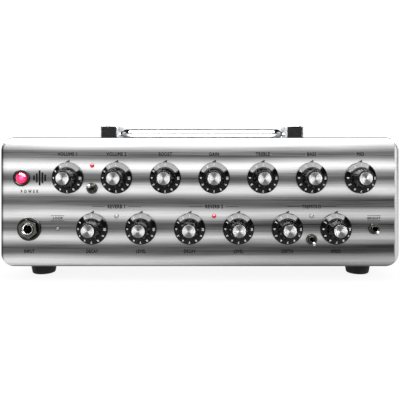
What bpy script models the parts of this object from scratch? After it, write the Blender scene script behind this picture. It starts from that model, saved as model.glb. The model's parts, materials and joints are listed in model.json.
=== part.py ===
"""Compact solid-state guitar amp head: an aluminium sleeve on rubber feet, a brushed face plate with
thirteen rotary controls, three toggle switches and one input jack, a folding bail handle on top, and
the chassis, boards, transformer and sockets behind them.

Metres, +Z up. The face looks along -Y. The origin is the centre of the footprint, on the floor.
"""

import math

import bmesh
import bpy
from mathutils import Matrix, Vector

MM = 0.001
GAP = 0.3 * MM  # room between two pieces that touch

# ---- driving dimensions ----------------------------------------------------------------------
WIDTH = 330 * MM  # face plate
FACE_HEIGHT = 107 * MM
DEPTH = 180 * MM  # face plate's front to the sleeve's rear edge
CORNER_RADIUS = 11 * MM
FACE_BOTTOM = 11 * MM  # face plate's lower edge above the floor
KNOB_HEIGHT = 15 * MM  # above the face plate
REAR_PROUD = 3 * MM  # how far the rear switch stands out behind the sleeve

# ---- face plate, sleeve and chassis ----------------------------------------------------------
FACE_THICK = 5 * MM
FACE_EDGE_RADIUS = 3 * MM
SLEEVE_INSET = 1 * MM  # the sleeve's outline is this much smaller than the face plate's
SLEEVE_WALL = 2.5 * MM
REAR_RECESS = 2 * MM  # the rear panel sits this far inside the sleeve
REAR_THICK = 2 * MM
TRAY_THICK = 1.5 * MM
TRAY_LIP = 10 * MM

FRONT_Y = KNOB_HEIGHT - (KNOB_HEIGHT + DEPTH + REAR_PROUD) / 2
REAR_Y = FRONT_Y + DEPTH
FACE_BACK_Y = FRONT_Y + FACE_THICK
SLEEVE_Y = FACE_BACK_Y + GAP
REAR_FACE_Y = REAR_Y - REAR_RECESS
REAR_INNER_Y = REAR_FACE_Y - REAR_THICK
CASE_MIDDLE_Y = (FRONT_Y + REAR_Y) / 2
FACE_MIDDLE_Z = FACE_BOTTOM + FACE_HEIGHT / 2
SLEEVE_HALF_X = WIDTH / 2 - SLEEVE_INSET
SLEEVE_BOTTOM = FACE_BOTTOM + SLEEVE_INSET
SLEEVE_TOP = FACE_BOTTOM + FACE_HEIGHT - SLEEVE_INSET
INSIDE_HALF_X = SLEEVE_HALF_X - SLEEVE_WALL
INSIDE_BOTTOM = SLEEVE_BOTTOM + SLEEVE_WALL
INSIDE_TOP = SLEEVE_TOP - SLEEVE_WALL
TRAY_HALF_X = INSIDE_HALF_X - 7.5 * MM  # clear of the sleeve's round corners
TRAY_Z = INSIDE_BOTTOM + GAP
TRAY_TOP = TRAY_Z + TRAY_THICK

# ---- controls on the face --------------------------------------------------------------------
KNOB_PITCH = 40.25 * MM
ROW_CENTRE_X = 11.7 * MM
UPPER_ROW_Z = FACE_BOTTOM + 73.5 * MM
LOWER_ROW_Z = FACE_BOTTOM + 31.5 * MM
UPPER_KNOBS = ("rhythm_volume", "lead_volume", "boost", "gain", "treble", "bass", "middle")
LOWER_KNOBS = ("reverb_1_decay", "reverb_1_level", "reverb_2_decay", "reverb_2_level", "depth", "speed")
UPPER_X = [ROW_CENTRE_X + (i - 3) * KNOB_PITCH for i in range(len(UPPER_KNOBS))]
LOWER_X = [ROW_CENTRE_X + (i - 2.5) * KNOB_PITCH for i in range(len(LOWER_KNOBS))]
JACK_X, JACK_Z = -140.8 * MM, FACE_BOTTOM + 31.5 * MM
PILOT_X, PILOT_Z = -147.1 * MM, UPPER_ROW_Z
BRIGHT_X = 143.6 * MM
LAMP_ROW_Z = LOWER_ROW_Z + 10.4 * MM
LIT_LAMPS = ("channel_lamp", "reverb_2_lamp")
LAMPS = {  # small indicator lamps: (x, z)
    "channel_lamp": (LOWER_X[0], UPPER_ROW_Z + 10.1 * MM),
    "reverb_1_lamp": (UPPER_X[1], LAMP_ROW_Z),
    "reverb_2_lamp": (UPPER_X[3], LAMP_ROW_Z),
    "tremolo_lamp": (UPPER_X[5], LAMP_ROW_Z),
    "loop_lamp": (-117.4 * MM, LOWER_ROW_Z),
}
TOGGLE_TILT = math.radians(12)  # the lever leans this far each way from square to the face
TOGGLES = {  # (x, z, which way the lever leans at rest: 1 up, -1 down)
    "channel_toggle": (LOWER_X[0], UPPER_ROW_Z - 8.6 * MM, 1),
    "tremolo_toggle": (UPPER_X[5], LOWER_ROW_Z - 8.8 * MM, -1),
    "bright_toggle": (BRIGHT_X, LOWER_ROW_Z, -1),
}

SHAFT_RADIUS = 3 * MM
BUSH_RADIUS = 3.75 * MM
BUSH_HOLE_RADIUS = 4.2 * MM
SKIRT_RADIUS = 12.9 * MM
LAMP_RADIUS = 1.5 * MM
PILOT_LENS_RADIUS = 4.7 * MM
PILOT_BEZEL_RADIUS = 7 * MM
PILOT_HOLE_RADIUS = 5.6 * MM
TOGGLE_BUSH_RADIUS = 3 * MM
TOGGLE_BODY = (6.8 * MM, 9 * MM, 12.6 * MM)
TOGGLE_PIVOT_DEPTH = 0.2 * MM  # the lever's ball lies this far behind the face
JACK_BUSH_RADIUS = 4.7 * MM
JACK_BORE_RADIUS = 3.3 * MM
JACK_BORE_DEPTH = 33 * MM
JACK_HOUSING_HALF = 8.5 * MM
JACK_HOUSING_DEPTH = 33 * MM
JACK_PROUD = 4.5 * MM  # the bush's end above its panel
JACK_COLLAR_RADIUS = 9.9 * MM
JACK_COLLAR_THICK = 1.6 * MM
JACK_NUT_ACROSS_FLATS = 14 * MM
JACK_NUT_THICK = 2.6 * MM

# ---- feet and handle -------------------------------------------------------------------------
FOOT_TOP_RADIUS = 11.8 * MM
FOOT_BOTTOM_RADIUS = 9.8 * MM
FOOT_HEIGHT = SLEEVE_BOTTOM - GAP
FOOT_X = 138.5 * MM
FOOT_INSET_Y = 28 * MM
BLOCK_X = 91.8 * MM
BLOCK_WIDTH = 20 * MM
BLOCK_DEPTH = 30 * MM
BLOCK_HEIGHT = 15.6 * MM
BLOCK_CAP = 1.6 * MM  # thickness of the black caps on the block's front
BAIL_RADIUS = 4.5 * MM
BAIL_REACH = 38 * MM  # pivot to the grip's centre
BAIL_HALF_X = 73 * MM  # to the legs' centre line
BAIL_BEND = 12 * MM
BAIL_LIFT = 7 * MM  # pivot above the sleeve
BAIL_STUB_RADIUS = 3.2 * MM

# ---- rear sockets ----------------------------------------------------------------------------
REAR_Z = FACE_BOTTOM + 51 * MM
INLET_X = 126 * MM
SWITCH_X = 88 * MM
FUSE_X = 58 * MM
REAR_JACKS = {
    "speaker_jack_1": 26 * MM,
    "speaker_jack_2": -2 * MM,
    "loop_return_jack": -52 * MM,
    "loop_send_jack": -80 * MM,
    "footswitch_jack": -126 * MM,
}
INLET_BODY = (27 * MM, 20 * MM)  # x and z of the part behind the flange
INLET_CAVITY = (24 * MM, 16.6 * MM, 16 * MM)
SWITCH_BODY = (19 * MM, 13 * MM)
FUSE_RADIUS = 6.2 * MM
ROCKER_TILT = math.radians(9)
ROCKER_PIVOT_DEPTH = 1.5 * MM  # under the rear panel's face

QUARTER_TURN = math.radians(90)
AXES = {
    "X": Matrix.Rotation(QUARTER_TURN, 4, "Y"),
    "Y": Matrix.Rotation(QUARTER_TURN, 4, "X"),
    "Z": Matrix(),
}


# ---- scene and materials ---------------------------------------------------------------------
def clear_scene():
    for obj in list(bpy.data.objects):
        bpy.data.objects.remove(obj)


def material(name, colour, roughness, metallic=0.0):
    made = bpy.data.materials.new(name)
    made.use_nodes = True
    shader = made.node_tree.nodes["Principled BSDF"]
    shader.inputs["Base Color"].default_value = (*colour, 1)
    shader.inputs["Roughness"].default_value = roughness
    shader.inputs["Metallic"].default_value = metallic
    return made


clear_scene()
BRUSHED = material("brushed_aluminium", (0.72, 0.72, 0.73), 0.32, 1)
SATIN = material("satin_aluminium", (0.62, 0.63, 0.64), 0.42, 1)
CHROME = material("chrome", (0.82, 0.83, 0.85), 0.06, 1)
STEEL = material("zinc_steel", (0.48, 0.49, 0.5), 0.4, 1)
BLACK_GLOSS = material("black_gloss_plastic", (0.012, 0.012, 0.013), 0.2)
BLACK_MATT = material("black_matt_plastic", (0.02, 0.02, 0.022), 0.55)
RUBBER = material("black_rubber", (0.015, 0.015, 0.015), 0.75)
RED_LENS = material("red_lens", (0.75, 0.01, 0.06), 0.12)
RED_LAMP = material("red_lamp", (0.6, 0.01, 0.03), 0.25)
CLEAR_LAMP = material("clear_lamp", (0.7, 0.7, 0.7), 0.15)
BOARD = material("board_green", (0.02, 0.16, 0.06), 0.5)
TAPE = material("winding_tape", (0.75, 0.5, 0.06), 0.45)
HEATSINK = material("black_anodised", (0.03, 0.03, 0.032), 0.45, 1)


# ---- mesh helpers ----------------------------------------------------------------------------
def rounded_rectangle(width, height, radius, steps=6):
    """Outline of a rectangle with round corners, centred on the origin."""
    points = []
    for corner, (sx, sy) in enumerate(((1, 1), (-1, 1), (-1, -1), (1, -1))):
        centre = Vector((sx * (width / 2 - radius), sy * (height / 2 - radius)))
        for i in range(steps + 1):
            angle = QUARTER_TURN * (corner + i / steps)
            points.append(centre + radius * Vector((math.cos(angle), math.sin(angle))))
    return points


def circle(radius, steps, turn=0.0):
    angles = (turn + 2 * math.pi * i / steps for i in range(steps))
    return [Vector((radius * math.cos(a), radius * math.sin(a))) for a in angles]


def hexagon(across_flats, turn=0.0):
    return circle(across_flats / math.sqrt(3), 6, turn)


def add_prism(bm, outline, low, high, axis="Z", centre=(0, 0, 0)):
    """Extrudes an outline from low to high along an axis. Its two coordinates are (x, y) on Z, (x, z) on Y
    and (y, z) on X. Returns its end face at low."""
    place = {
        "Z": lambda u, v, w: (u, v, w),
        "Y": lambda u, v, w: (u, w, v),
        "X": lambda u, v, w: (w, u, v),
    }[axis]
    verts = [bm.verts.new(Vector(place(p[0], p[1], low)) + Vector(centre)) for p in outline]
    face = bm.faces.new(verts)
    step = Vector(place(0, 0, high - low))
    made = bmesh.ops.extrude_face_region(bm, geom=[face], use_keep_orig=True)["geom"]
    bmesh.ops.translate(bm, vec=step, verts=[g for g in made if isinstance(g, bmesh.types.BMVert)])
    return face


def add_box(bm, low, high):
    size = Vector(high) - Vector(low)
    place = Matrix.Translation((Vector(low) + Vector(high)) / 2) @ Matrix.Diagonal((*size, 1))
    bmesh.ops.create_cube(bm, size=1, matrix=place)


def add_turned(bm, profile, steps, axis="Z", centre=(0, 0, 0)):
    """Turns a profile of (radius, height) points round an axis. A profile that starts and ends on the axis
    makes a solid, and any other closes on itself and makes a ring. On Y, heights run out of the face."""
    place = Matrix.Translation(centre) @ AXES[axis]
    verts = [bm.verts.new(place @ Vector((r, 0, h))) for r, h in profile]
    pairs = list(zip(verts, verts[1:]))
    if profile[0][0] > 0:
        pairs.append((verts[-1], verts[0]))
    edges = [bm.edges.new(pair) for pair in pairs]
    turn_axis = (place @ Vector((0, 0, 1))) - (place @ Vector((0, 0, 0)))
    bmesh.ops.spin(
        bm, geom=verts + edges, cent=centre, axis=turn_axis, angle=2 * math.pi, steps=steps, use_merge=True
    )


def finish_mesh(bm, name):
    bmesh.ops.remove_doubles(bm, verts=bm.verts, dist=0.001 * MM)
    bmesh.ops.recalc_face_normals(bm, faces=bm.faces)
    mesh = bpy.data.meshes.new(name)
    bm.to_mesh(mesh)
    bm.free()
    mesh.shade_smooth()
    mesh.set_sharp_from_angle(angle=math.radians(32))
    return mesh


def mesh_of(name, build):
    """A mesh made by build(bm)."""
    bm = bmesh.new()
    build(bm)
    return finish_mesh(bm, name)


def place(name, mesh, finish, location=(0, 0, 0), rotation=(0, 0, 0)):
    if finish.name not in mesh.materials:
        mesh.materials.append(finish)
    obj = bpy.data.objects.new(name, mesh)
    obj.location = location
    obj.rotation_euler = rotation
    bpy.context.scene.collection.objects.link(obj)
    return obj


def helper(name, build, location=(0, 0, 0)):
    """An object that only cuts or joins another, and isn't a piece itself."""
    obj = bpy.data.objects.new(name, mesh_of(name, build))
    obj.location = location
    obj.hide_render = True
    obj.display_type = "WIRE"
    bpy.context.scene.collection.objects.link(obj)
    return obj


def boolean(obj, operation, other):
    modifier = obj.modifiers.new(operation.lower(), "BOOLEAN")
    modifier.operation = operation
    modifier.solver = "EXACT"
    modifier.object = other


# ---- face plate ------------------------------------------------------------------------------
def face_plate():
    def plate(bm):
        outline = rounded_rectangle(WIDTH, FACE_HEIGHT, CORNER_RADIUS, 8)
        front = add_prism(bm, outline, 0, FACE_THICK, "Y")
        bmesh.ops.bevel(
            bm, geom=list(front.edges), offset=FACE_EDGE_RADIUS, segments=4, profile=0.5, affect="EDGES"
        )

    def holes(bm):
        through = (-2 * MM, FACE_THICK + 2 * MM)
        for x, z in [(x, UPPER_ROW_Z) for x in UPPER_X] + [(x, LOWER_ROW_Z) for x in LOWER_X]:
            add_prism(bm, circle(BUSH_HOLE_RADIUS, 12), *through, "Y", (x, 0, z))
        for x, z, _ in TOGGLES.values():
            add_prism(bm, circle(TOGGLE_BUSH_RADIUS + GAP, 12), *through, "Y", (x, 0, z))
        for x, z in LAMPS.values():
            add_prism(bm, circle(LAMP_RADIUS + GAP, 12), *through, "Y", (x, 0, z))
        add_prism(bm, circle(JACK_BUSH_RADIUS + GAP, 16), *through, "Y", (JACK_X, 0, JACK_Z))
        add_prism(bm, circle(PILOT_HOLE_RADIUS, 16), *through, "Y", (PILOT_X, 0, PILOT_Z))

    face = place("front_panel", mesh_of("face_plate", plate), BRUSHED, (0, FRONT_Y, FACE_MIDDLE_Z))
    boolean(face, "DIFFERENCE", helper("face_holes", holes, (0, FRONT_Y, 0)))


# ---- sleeve, chassis tray and rear panel -----------------------------------------------------
VENT_WIDTH = 3 * MM
VENT_PITCH = 8 * MM
VENT_LENGTH = 52 * MM
VENTS = 6  # in each group, on the top and the bottom
VENT_GROUP_X = 118 * MM
TOP_VENT_SHIFT_Y = 30 * MM  # behind the case's middle
SIDE_VENTS = 7
SIDE_VENT_LENGTH = 46 * MM
SIDE_VENT_SHIFT_Y = 10 * MM


def slot(length, width, steps=3):
    """Outline of a slot with round ends, its length along the second coordinate."""
    half = length / 2 - width / 2
    points = []
    for end in (1, -1):
        for i in range(steps + 1):
            angle = math.pi * i / steps
            across, along = width / 2 * math.cos(angle), half + width / 2 * math.sin(angle)
            points.append(end * Vector((across, along)))
    return points


def case_sleeve():
    height = SLEEVE_TOP - SLEEVE_BOTTOM
    outer = rounded_rectangle(2 * SLEEVE_HALF_X, height, CORNER_RADIUS - SLEEVE_INSET, 6)
    inner = rounded_rectangle(
        2 * INSIDE_HALF_X, height - 2 * SLEEVE_WALL, CORNER_RADIUS - SLEEVE_INSET - SLEEVE_WALL, 6
    )

    def tube(bm):
        rings = []
        for outline in (outer, inner):
            verts = [bm.verts.new((p.x, SLEEVE_Y, p.y)) for p in outline]
            rings += [bm.edges.new((a, b)) for a, b in zip(verts, verts[1:] + verts[:1])]
        end = bmesh.ops.bridge_loops(bm, edges=rings)["faces"]
        made = bmesh.ops.extrude_face_region(bm, geom=end, use_keep_orig=True)["geom"]
        moved = [g for g in made if isinstance(g, bmesh.types.BMVert)]
        bmesh.ops.translate(bm, vec=(0, REAR_Y - SLEEVE_Y, 0), verts=moved)

    def vents(bm):
        for side in (1, -1):
            for i in range(VENTS):
                x = side * (VENT_GROUP_X + (i - (VENTS - 1) / 2) * VENT_PITCH)
                centre = (x, CASE_MIDDLE_Y + TOP_VENT_SHIFT_Y, 0)
                top = SLEEVE_TOP - 2 * SLEEVE_WALL, SLEEVE_TOP + SLEEVE_WALL
                bottom = SLEEVE_BOTTOM - SLEEVE_WALL, SLEEVE_BOTTOM + 2 * SLEEVE_WALL
                add_prism(bm, slot(VENT_LENGTH, VENT_WIDTH), *top, "Z", centre)
                add_prism(bm, slot(VENT_LENGTH, VENT_WIDTH), *bottom, "Z", (x, CASE_MIDDLE_Y, 0))
            for i in range(SIDE_VENTS):
                y = CASE_MIDDLE_Y + SIDE_VENT_SHIFT_Y + (i - (SIDE_VENTS - 1) / 2) * VENT_PITCH
                across = sorted((side * (INSIDE_HALF_X - SLEEVE_WALL), side * (SLEEVE_HALF_X + SLEEVE_WALL)))
                add_prism(bm, slot(SIDE_VENT_LENGTH, VENT_WIDTH), *across, "X", (0, y, FACE_MIDDLE_Z))

    sleeve = place("case_sleeve", mesh_of("sleeve", tube), SATIN, (0, 0, (SLEEVE_TOP + SLEEVE_BOTTOM) / 2))
    boolean(sleeve, "DIFFERENCE", helper("sleeve_vents", vents))


def chassis_tray():
    front, rear = FACE_BACK_Y + 1 * MM, REAR_INNER_Y - GAP
    outline = [
        (front, TRAY_Z),
        (rear, TRAY_Z),
        (rear, TRAY_Z + TRAY_LIP),
        (rear - TRAY_THICK, TRAY_Z + TRAY_LIP),
        (rear - TRAY_THICK, TRAY_TOP),
        (front + TRAY_THICK, TRAY_TOP),
        (front + TRAY_THICK, TRAY_Z + TRAY_LIP),
        (front, TRAY_Z + TRAY_LIP),
    ]
    mesh = mesh_of("tray", lambda bm: add_prism(bm, outline, -TRAY_HALF_X, TRAY_HALF_X, "X"))
    place("chassis_tray", mesh, STEEL)


def rear_panel():
    clearance = 2 * GAP
    width = 2 * INSIDE_HALF_X - clearance
    height = INSIDE_TOP - INSIDE_BOTTOM - clearance
    radius = CORNER_RADIUS - SLEEVE_INSET - SLEEVE_WALL - GAP

    def holes(bm):
        through = (-REAR_THICK - 2 * MM, 2 * MM)
        hole = JACK_BUSH_RADIUS + GAP
        for x in REAR_JACKS.values():
            add_prism(bm, circle(hole, 16), *through, "Y", (x, 0, REAR_Z))
        add_prism(bm, circle(FUSE_RADIUS + GAP, 16), *through, "Y", (FUSE_X, 0, REAR_Z))
        for x, (w, h) in ((INLET_X, INLET_BODY), (SWITCH_X, SWITCH_BODY)):
            opening = rounded_rectangle(w + 2 * GAP, h + 2 * GAP, 0.5 * MM, 1)
            add_prism(bm, opening, *through, "Y", (x, 0, REAR_Z))

    outline = rounded_rectangle(width, height, radius, 6)
    mesh = mesh_of("rear_plate", lambda bm: add_prism(bm, outline, -REAR_THICK, 0, "Y"))
    panel = place("rear_panel", mesh, SATIN, (0, REAR_FACE_Y, (INSIDE_TOP + INSIDE_BOTTOM) / 2))
    boolean(panel, "DIFFERENCE", helper("rear_holes", holes, (0, REAR_FACE_Y, 0)))


# ---- feet and handle -------------------------------------------------------------------------
def feet():
    edge = 1.2 * MM
    profile = [
        (0, 0),
        (FOOT_BOTTOM_RADIUS - edge, 0),
        (FOOT_BOTTOM_RADIUS, edge),
        (FOOT_TOP_RADIUS, FOOT_HEIGHT),
        (0, FOOT_HEIGHT),
    ]
    mesh = mesh_of("foot", lambda bm: add_turned(bm, profile, 20))
    for depth, y in (("front", FRONT_Y + FOOT_INSET_Y), ("rear", REAR_Y - FOOT_INSET_Y)):
        for side, x in (("left", -FOOT_X), ("right", FOOT_X)):
            place(f"foot_{depth}_{side}", mesh, RUBBER, (x, y, 0))


def handle_blocks():
    """Metal blocks that hold the bail's stubs, with a black cap on the front of each."""
    pivot = Vector((0, CASE_MIDDLE_Y, SLEEVE_TOP + BAIL_LIFT))
    stub_hole = BAIL_STUB_RADIUS + GAP
    for side, sign in (("left", -1), ("right", 1)):

        def block(bm):
            depth = BLOCK_DEPTH - BLOCK_CAP - GAP
            outline = rounded_rectangle(BLOCK_WIDTH, depth, 4 * MM, 4)
            add_prism(bm, outline, 0, BLOCK_HEIGHT, "Z", (0, (BLOCK_CAP + GAP) / 2, 0))
            top = [e for e in bm.edges if all(v.co.z > BLOCK_HEIGHT / 2 for v in e.verts)]
            bmesh.ops.bevel(bm, geom=top, offset=1.5 * MM, segments=2, profile=0.5, affect="EDGES")

        def bore(bm):
            reach = sorted((-sign * (BLOCK_WIDTH / 2 + 2 * MM), sign * 4 * MM))
            add_prism(bm, circle(stub_hole, 12), *reach, "X", (0, 0, BAIL_LIFT))

        location = (sign * BLOCK_X, pivot.y, SLEEVE_TOP + GAP)
        made = place(f"handle_block_{side}", mesh_of("block", block), CHROME, location)
        boolean(made, "DIFFERENCE", helper(f"block_bore_{side}", bore, (sign * BLOCK_X, pivot.y, SLEEVE_TOP)))

    def cap(bm):
        outline = rounded_rectangle(BLOCK_WIDTH - 6 * MM, BLOCK_HEIGHT - 1.4 * MM, 0.8 * MM, 2)
        add_prism(bm, outline, -BLOCK_DEPTH / 2, -BLOCK_DEPTH / 2 + BLOCK_CAP, "Y")

    mesh = mesh_of("block_cap", cap)
    for side, sign in (("left", -1), ("right", 1)):
        location = (sign * BLOCK_X, pivot.y, SLEEVE_TOP + GAP + BLOCK_HEIGHT / 2)
        place(f"handle_cap_{side}", mesh, BLACK_MATT, location)


def bail():
    """One bent round bar. It lies forward at rest and turns about the line through its two stubs."""

    def arc(centre, start, end, steps=5):
        angles = [math.radians(start + (end - start) * i / steps) for i in range(steps + 1)]
        return [centre + BAIL_BEND * Vector((math.cos(a), math.sin(a), 0)) for a in angles]

    grip_y = -BAIL_REACH
    left = arc(Vector((-BAIL_HALF_X + BAIL_BEND, grip_y + BAIL_BEND, 0)), 180, 270)
    right = arc(Vector((BAIL_HALF_X - BAIL_BEND, grip_y + BAIL_BEND, 0)), 270, 360)
    path = [Vector((-BAIL_HALF_X, BAIL_RADIUS, 0)), *left, *right, Vector((BAIL_HALF_X, BAIL_RADIUS, 0))]

    curve = bpy.data.curves.new("bail_path", "CURVE")
    curve.dimensions = "3D"
    curve.bevel_depth = BAIL_RADIUS
    curve.bevel_resolution = 4
    curve.use_fill_caps = True
    spline = curve.splines.new("POLY")
    spline.points.add(len(path) - 1)
    for point, at in zip(spline.points, path):
        point.co = (*at, 1)
    guide = bpy.data.objects.new("bail_guide", curve)
    bpy.context.scene.collection.objects.link(guide)
    bpy.context.view_layer.update()
    mesh = bpy.data.meshes.new_from_object(guide.evaluated_get(bpy.context.evaluated_depsgraph_get()))
    bpy.data.objects.remove(guide)
    bm = bmesh.new()
    bm.from_mesh(mesh)
    mesh = finish_mesh(bm, "bail")

    def stubs(bm):
        for sign in (-1, 1):
            inner, outer = BAIL_HALF_X, BLOCK_X - BLOCK_WIDTH / 2 + 9 * MM
            add_prism(bm, circle(BAIL_STUB_RADIUS, 12), *sorted((sign * inner, sign * outer)), "X")

    location = (0, CASE_MIDDLE_Y, SLEEVE_TOP + BAIL_LIFT)
    made = place("handle_bail", mesh, CHROME, location)
    boolean(made, "UNION", helper("bail_stubs", stubs, location))


# ---- knobs, potentiometers and control boards ------------------------------------------------
POT_BODY_RADIUS = 8 * MM
POT_BODY_DEPTH = 8 * MM
POT_NUT_THICK = 2 * MM
POT_BUSH_PROUD = 2.6 * MM
BOARD_THICK = 1.6 * MM
BOARD_END = 12 * MM  # a control board runs on this far past its end potentiometers
BOARD_HALF_HEIGHT = 11 * MM
SHAFT_DEPTH = FACE_THICK + 3 * MM  # the shaft's inner end, behind the face


def knobs():
    """A skirted knob pressed on its potentiometer's shaft: the two turn as one."""
    underside = 0.6 * MM
    recess = (7 * MM, 3.8 * MM)
    profile = [
        (0, -SHAFT_DEPTH),
        (SHAFT_RADIUS, -SHAFT_DEPTH),
        (SHAFT_RADIUS, recess[1]),
        recess,
        (recess[0], underside),
        (SKIRT_RADIUS, underside),
        (SKIRT_RADIUS, 1.3 * MM),
        (8.7 * MM, 3.9 * MM),
        (8.3 * MM, 4.5 * MM),
        (6.5 * MM, KNOB_HEIGHT - 0.6 * MM),
        (5.9 * MM, KNOB_HEIGHT),
        (0, KNOB_HEIGHT),
    ]
    mesh = mesh_of("knob", lambda bm: add_turned(bm, profile, 24, "Y"))
    for names, places, z in ((UPPER_KNOBS, UPPER_X, UPPER_ROW_Z), (LOWER_KNOBS, LOWER_X, LOWER_ROW_Z)):
        for name, x in zip(names, places):
            place(f"knob_{name}", mesh, BLACK_GLOSS, (x, FRONT_Y, z))


def control_boards():
    """Two boards behind the face, each with its row of potentiometers soldered on."""
    behind = FACE_THICK + GAP
    bore = SHAFT_RADIUS + 2 * GAP
    pot = [
        (bore, -SHAFT_DEPTH - 1 * MM),
        (0, -SHAFT_DEPTH - 1 * MM),
        (0, -behind - POT_BODY_DEPTH),
        (POT_BODY_RADIUS, -behind - POT_BODY_DEPTH),
        (POT_BODY_RADIUS, -behind),
        (BUSH_RADIUS, -behind),
        (BUSH_RADIUS, GAP),
        (5.5 * MM, GAP),
        (5.5 * MM, GAP + POT_NUT_THICK),
        (BUSH_RADIUS, GAP + POT_NUT_THICK),
        (BUSH_RADIUS, POT_BUSH_PROUD),
        (bore, POT_BUSH_PROUD),
    ]
    outside = pot[3:11]
    board_y = FACE_BACK_Y + GAP + POT_BODY_DEPTH - 0.5 * MM
    for name, places, z in (("upper", UPPER_X, UPPER_ROW_Z), ("lower", LOWER_X, LOWER_ROW_Z)):

        def pots(bm):
            solid = [(0, outside[0][1]), *outside, (0, outside[-1][1])]
            for x in places:
                add_turned(bm, solid, 12, "Y", (x, FRONT_Y, z))

        def bores(bm):
            floor, mouth = -SHAFT_DEPTH - 1 * MM, 6 * MM
            for x in places:
                solid = [(0, floor), (bore, floor), (bore, mouth), (0, mouth)]
                add_turned(bm, solid, 12, "Y", (x, FRONT_Y, z))

        def notches(bm):
            room = 1 * MM
            half_x, half_z = TOGGLE_BODY[0] / 2 + room, TOGGLE_BODY[2] / 2 + room
            for x, toggle_z, _ in TOGGLES.values():
                low = (x - half_x, board_y - room, toggle_z - half_z)
                high = (x + half_x, board_y + BOARD_THICK + room, toggle_z + half_z)
                add_box(bm, low, high)

        def board(bm):
            low = (places[0] - BOARD_END, board_y, z - BOARD_HALF_HEIGHT)
            high = (places[-1] + BOARD_END, board_y + BOARD_THICK, z + BOARD_HALF_HEIGHT)
            add_box(bm, low, high)

        made = place(f"{name}_control_board", mesh_of("control_board", board), BOARD)
        boolean(made, "DIFFERENCE", helper(f"{name}_board_notches", notches))
        boolean(made, "UNION", helper(f"{name}_pots", pots))
        boolean(made, "DIFFERENCE", helper(f"{name}_pot_bores", bores))


# ---- lamps -----------------------------------------------------------------------------------
def lamps():
    depth, dome, flange = FACE_THICK + 2 * MM, 1.1 * MM, LAMP_RADIUS + 0.4 * MM
    profile = [(0, -depth), (flange, -depth), (flange, -FACE_THICK - GAP), (LAMP_RADIUS, -FACE_THICK - GAP)]
    profile += [
        (LAMP_RADIUS * math.cos(a), dome * math.sin(a)) for a in (math.radians(x) for x in (0, 30, 60))
    ]
    profile.append((0, dome))
    for name, (x, z) in LAMPS.items():
        finish = RED_LAMP if name in LIT_LAMPS else CLEAR_LAMP
        mesh = mesh_of("lamp", lambda bm: add_turned(bm, profile, 12, "Y"))
        place(name, mesh, finish, (x, FRONT_Y, z))


def pilot_light():
    """A faceted red lens held by a round bezel."""
    lens_profile = [
        (0, -FACE_THICK - 5 * MM),
        (PILOT_LENS_RADIUS - 0.6 * MM, -FACE_THICK - 5 * MM),
        (PILOT_LENS_RADIUS - 0.6 * MM, 0.6 * MM),
        (PILOT_LENS_RADIUS, 0.9 * MM),
        (PILOT_LENS_RADIUS * 0.72, 2.6 * MM),
        (PILOT_LENS_RADIUS * 0.3, 3.3 * MM),
        (0, 3.4 * MM),
    ]
    inside = PILOT_LENS_RADIUS - 0.6 * MM + GAP
    bezel_profile = [
        (inside, -FACE_THICK - 3 * MM),
        (PILOT_HOLE_RADIUS - GAP, -FACE_THICK - 3 * MM),
        (PILOT_HOLE_RADIUS - GAP, GAP),
        (PILOT_BEZEL_RADIUS, GAP),
        (PILOT_BEZEL_RADIUS, 0.7 * MM),
        (PILOT_BEZEL_RADIUS - 1 * MM, 1.5 * MM),
        (PILOT_LENS_RADIUS + GAP, 1.5 * MM),
        (PILOT_LENS_RADIUS + GAP, 0.5 * MM),
        (inside, 0.2 * MM),
    ]
    location = (PILOT_X, FRONT_Y, PILOT_Z)
    place("pilot_lens", mesh_of("lens", lambda bm: add_turned(bm, lens_profile, 16, "Y")), RED_LENS, location)
    bezel = mesh_of("bezel", lambda bm: add_turned(bm, bezel_profile, 24, "Y"))
    place("pilot_bezel", bezel, BLACK_GLOSS, location)


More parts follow.
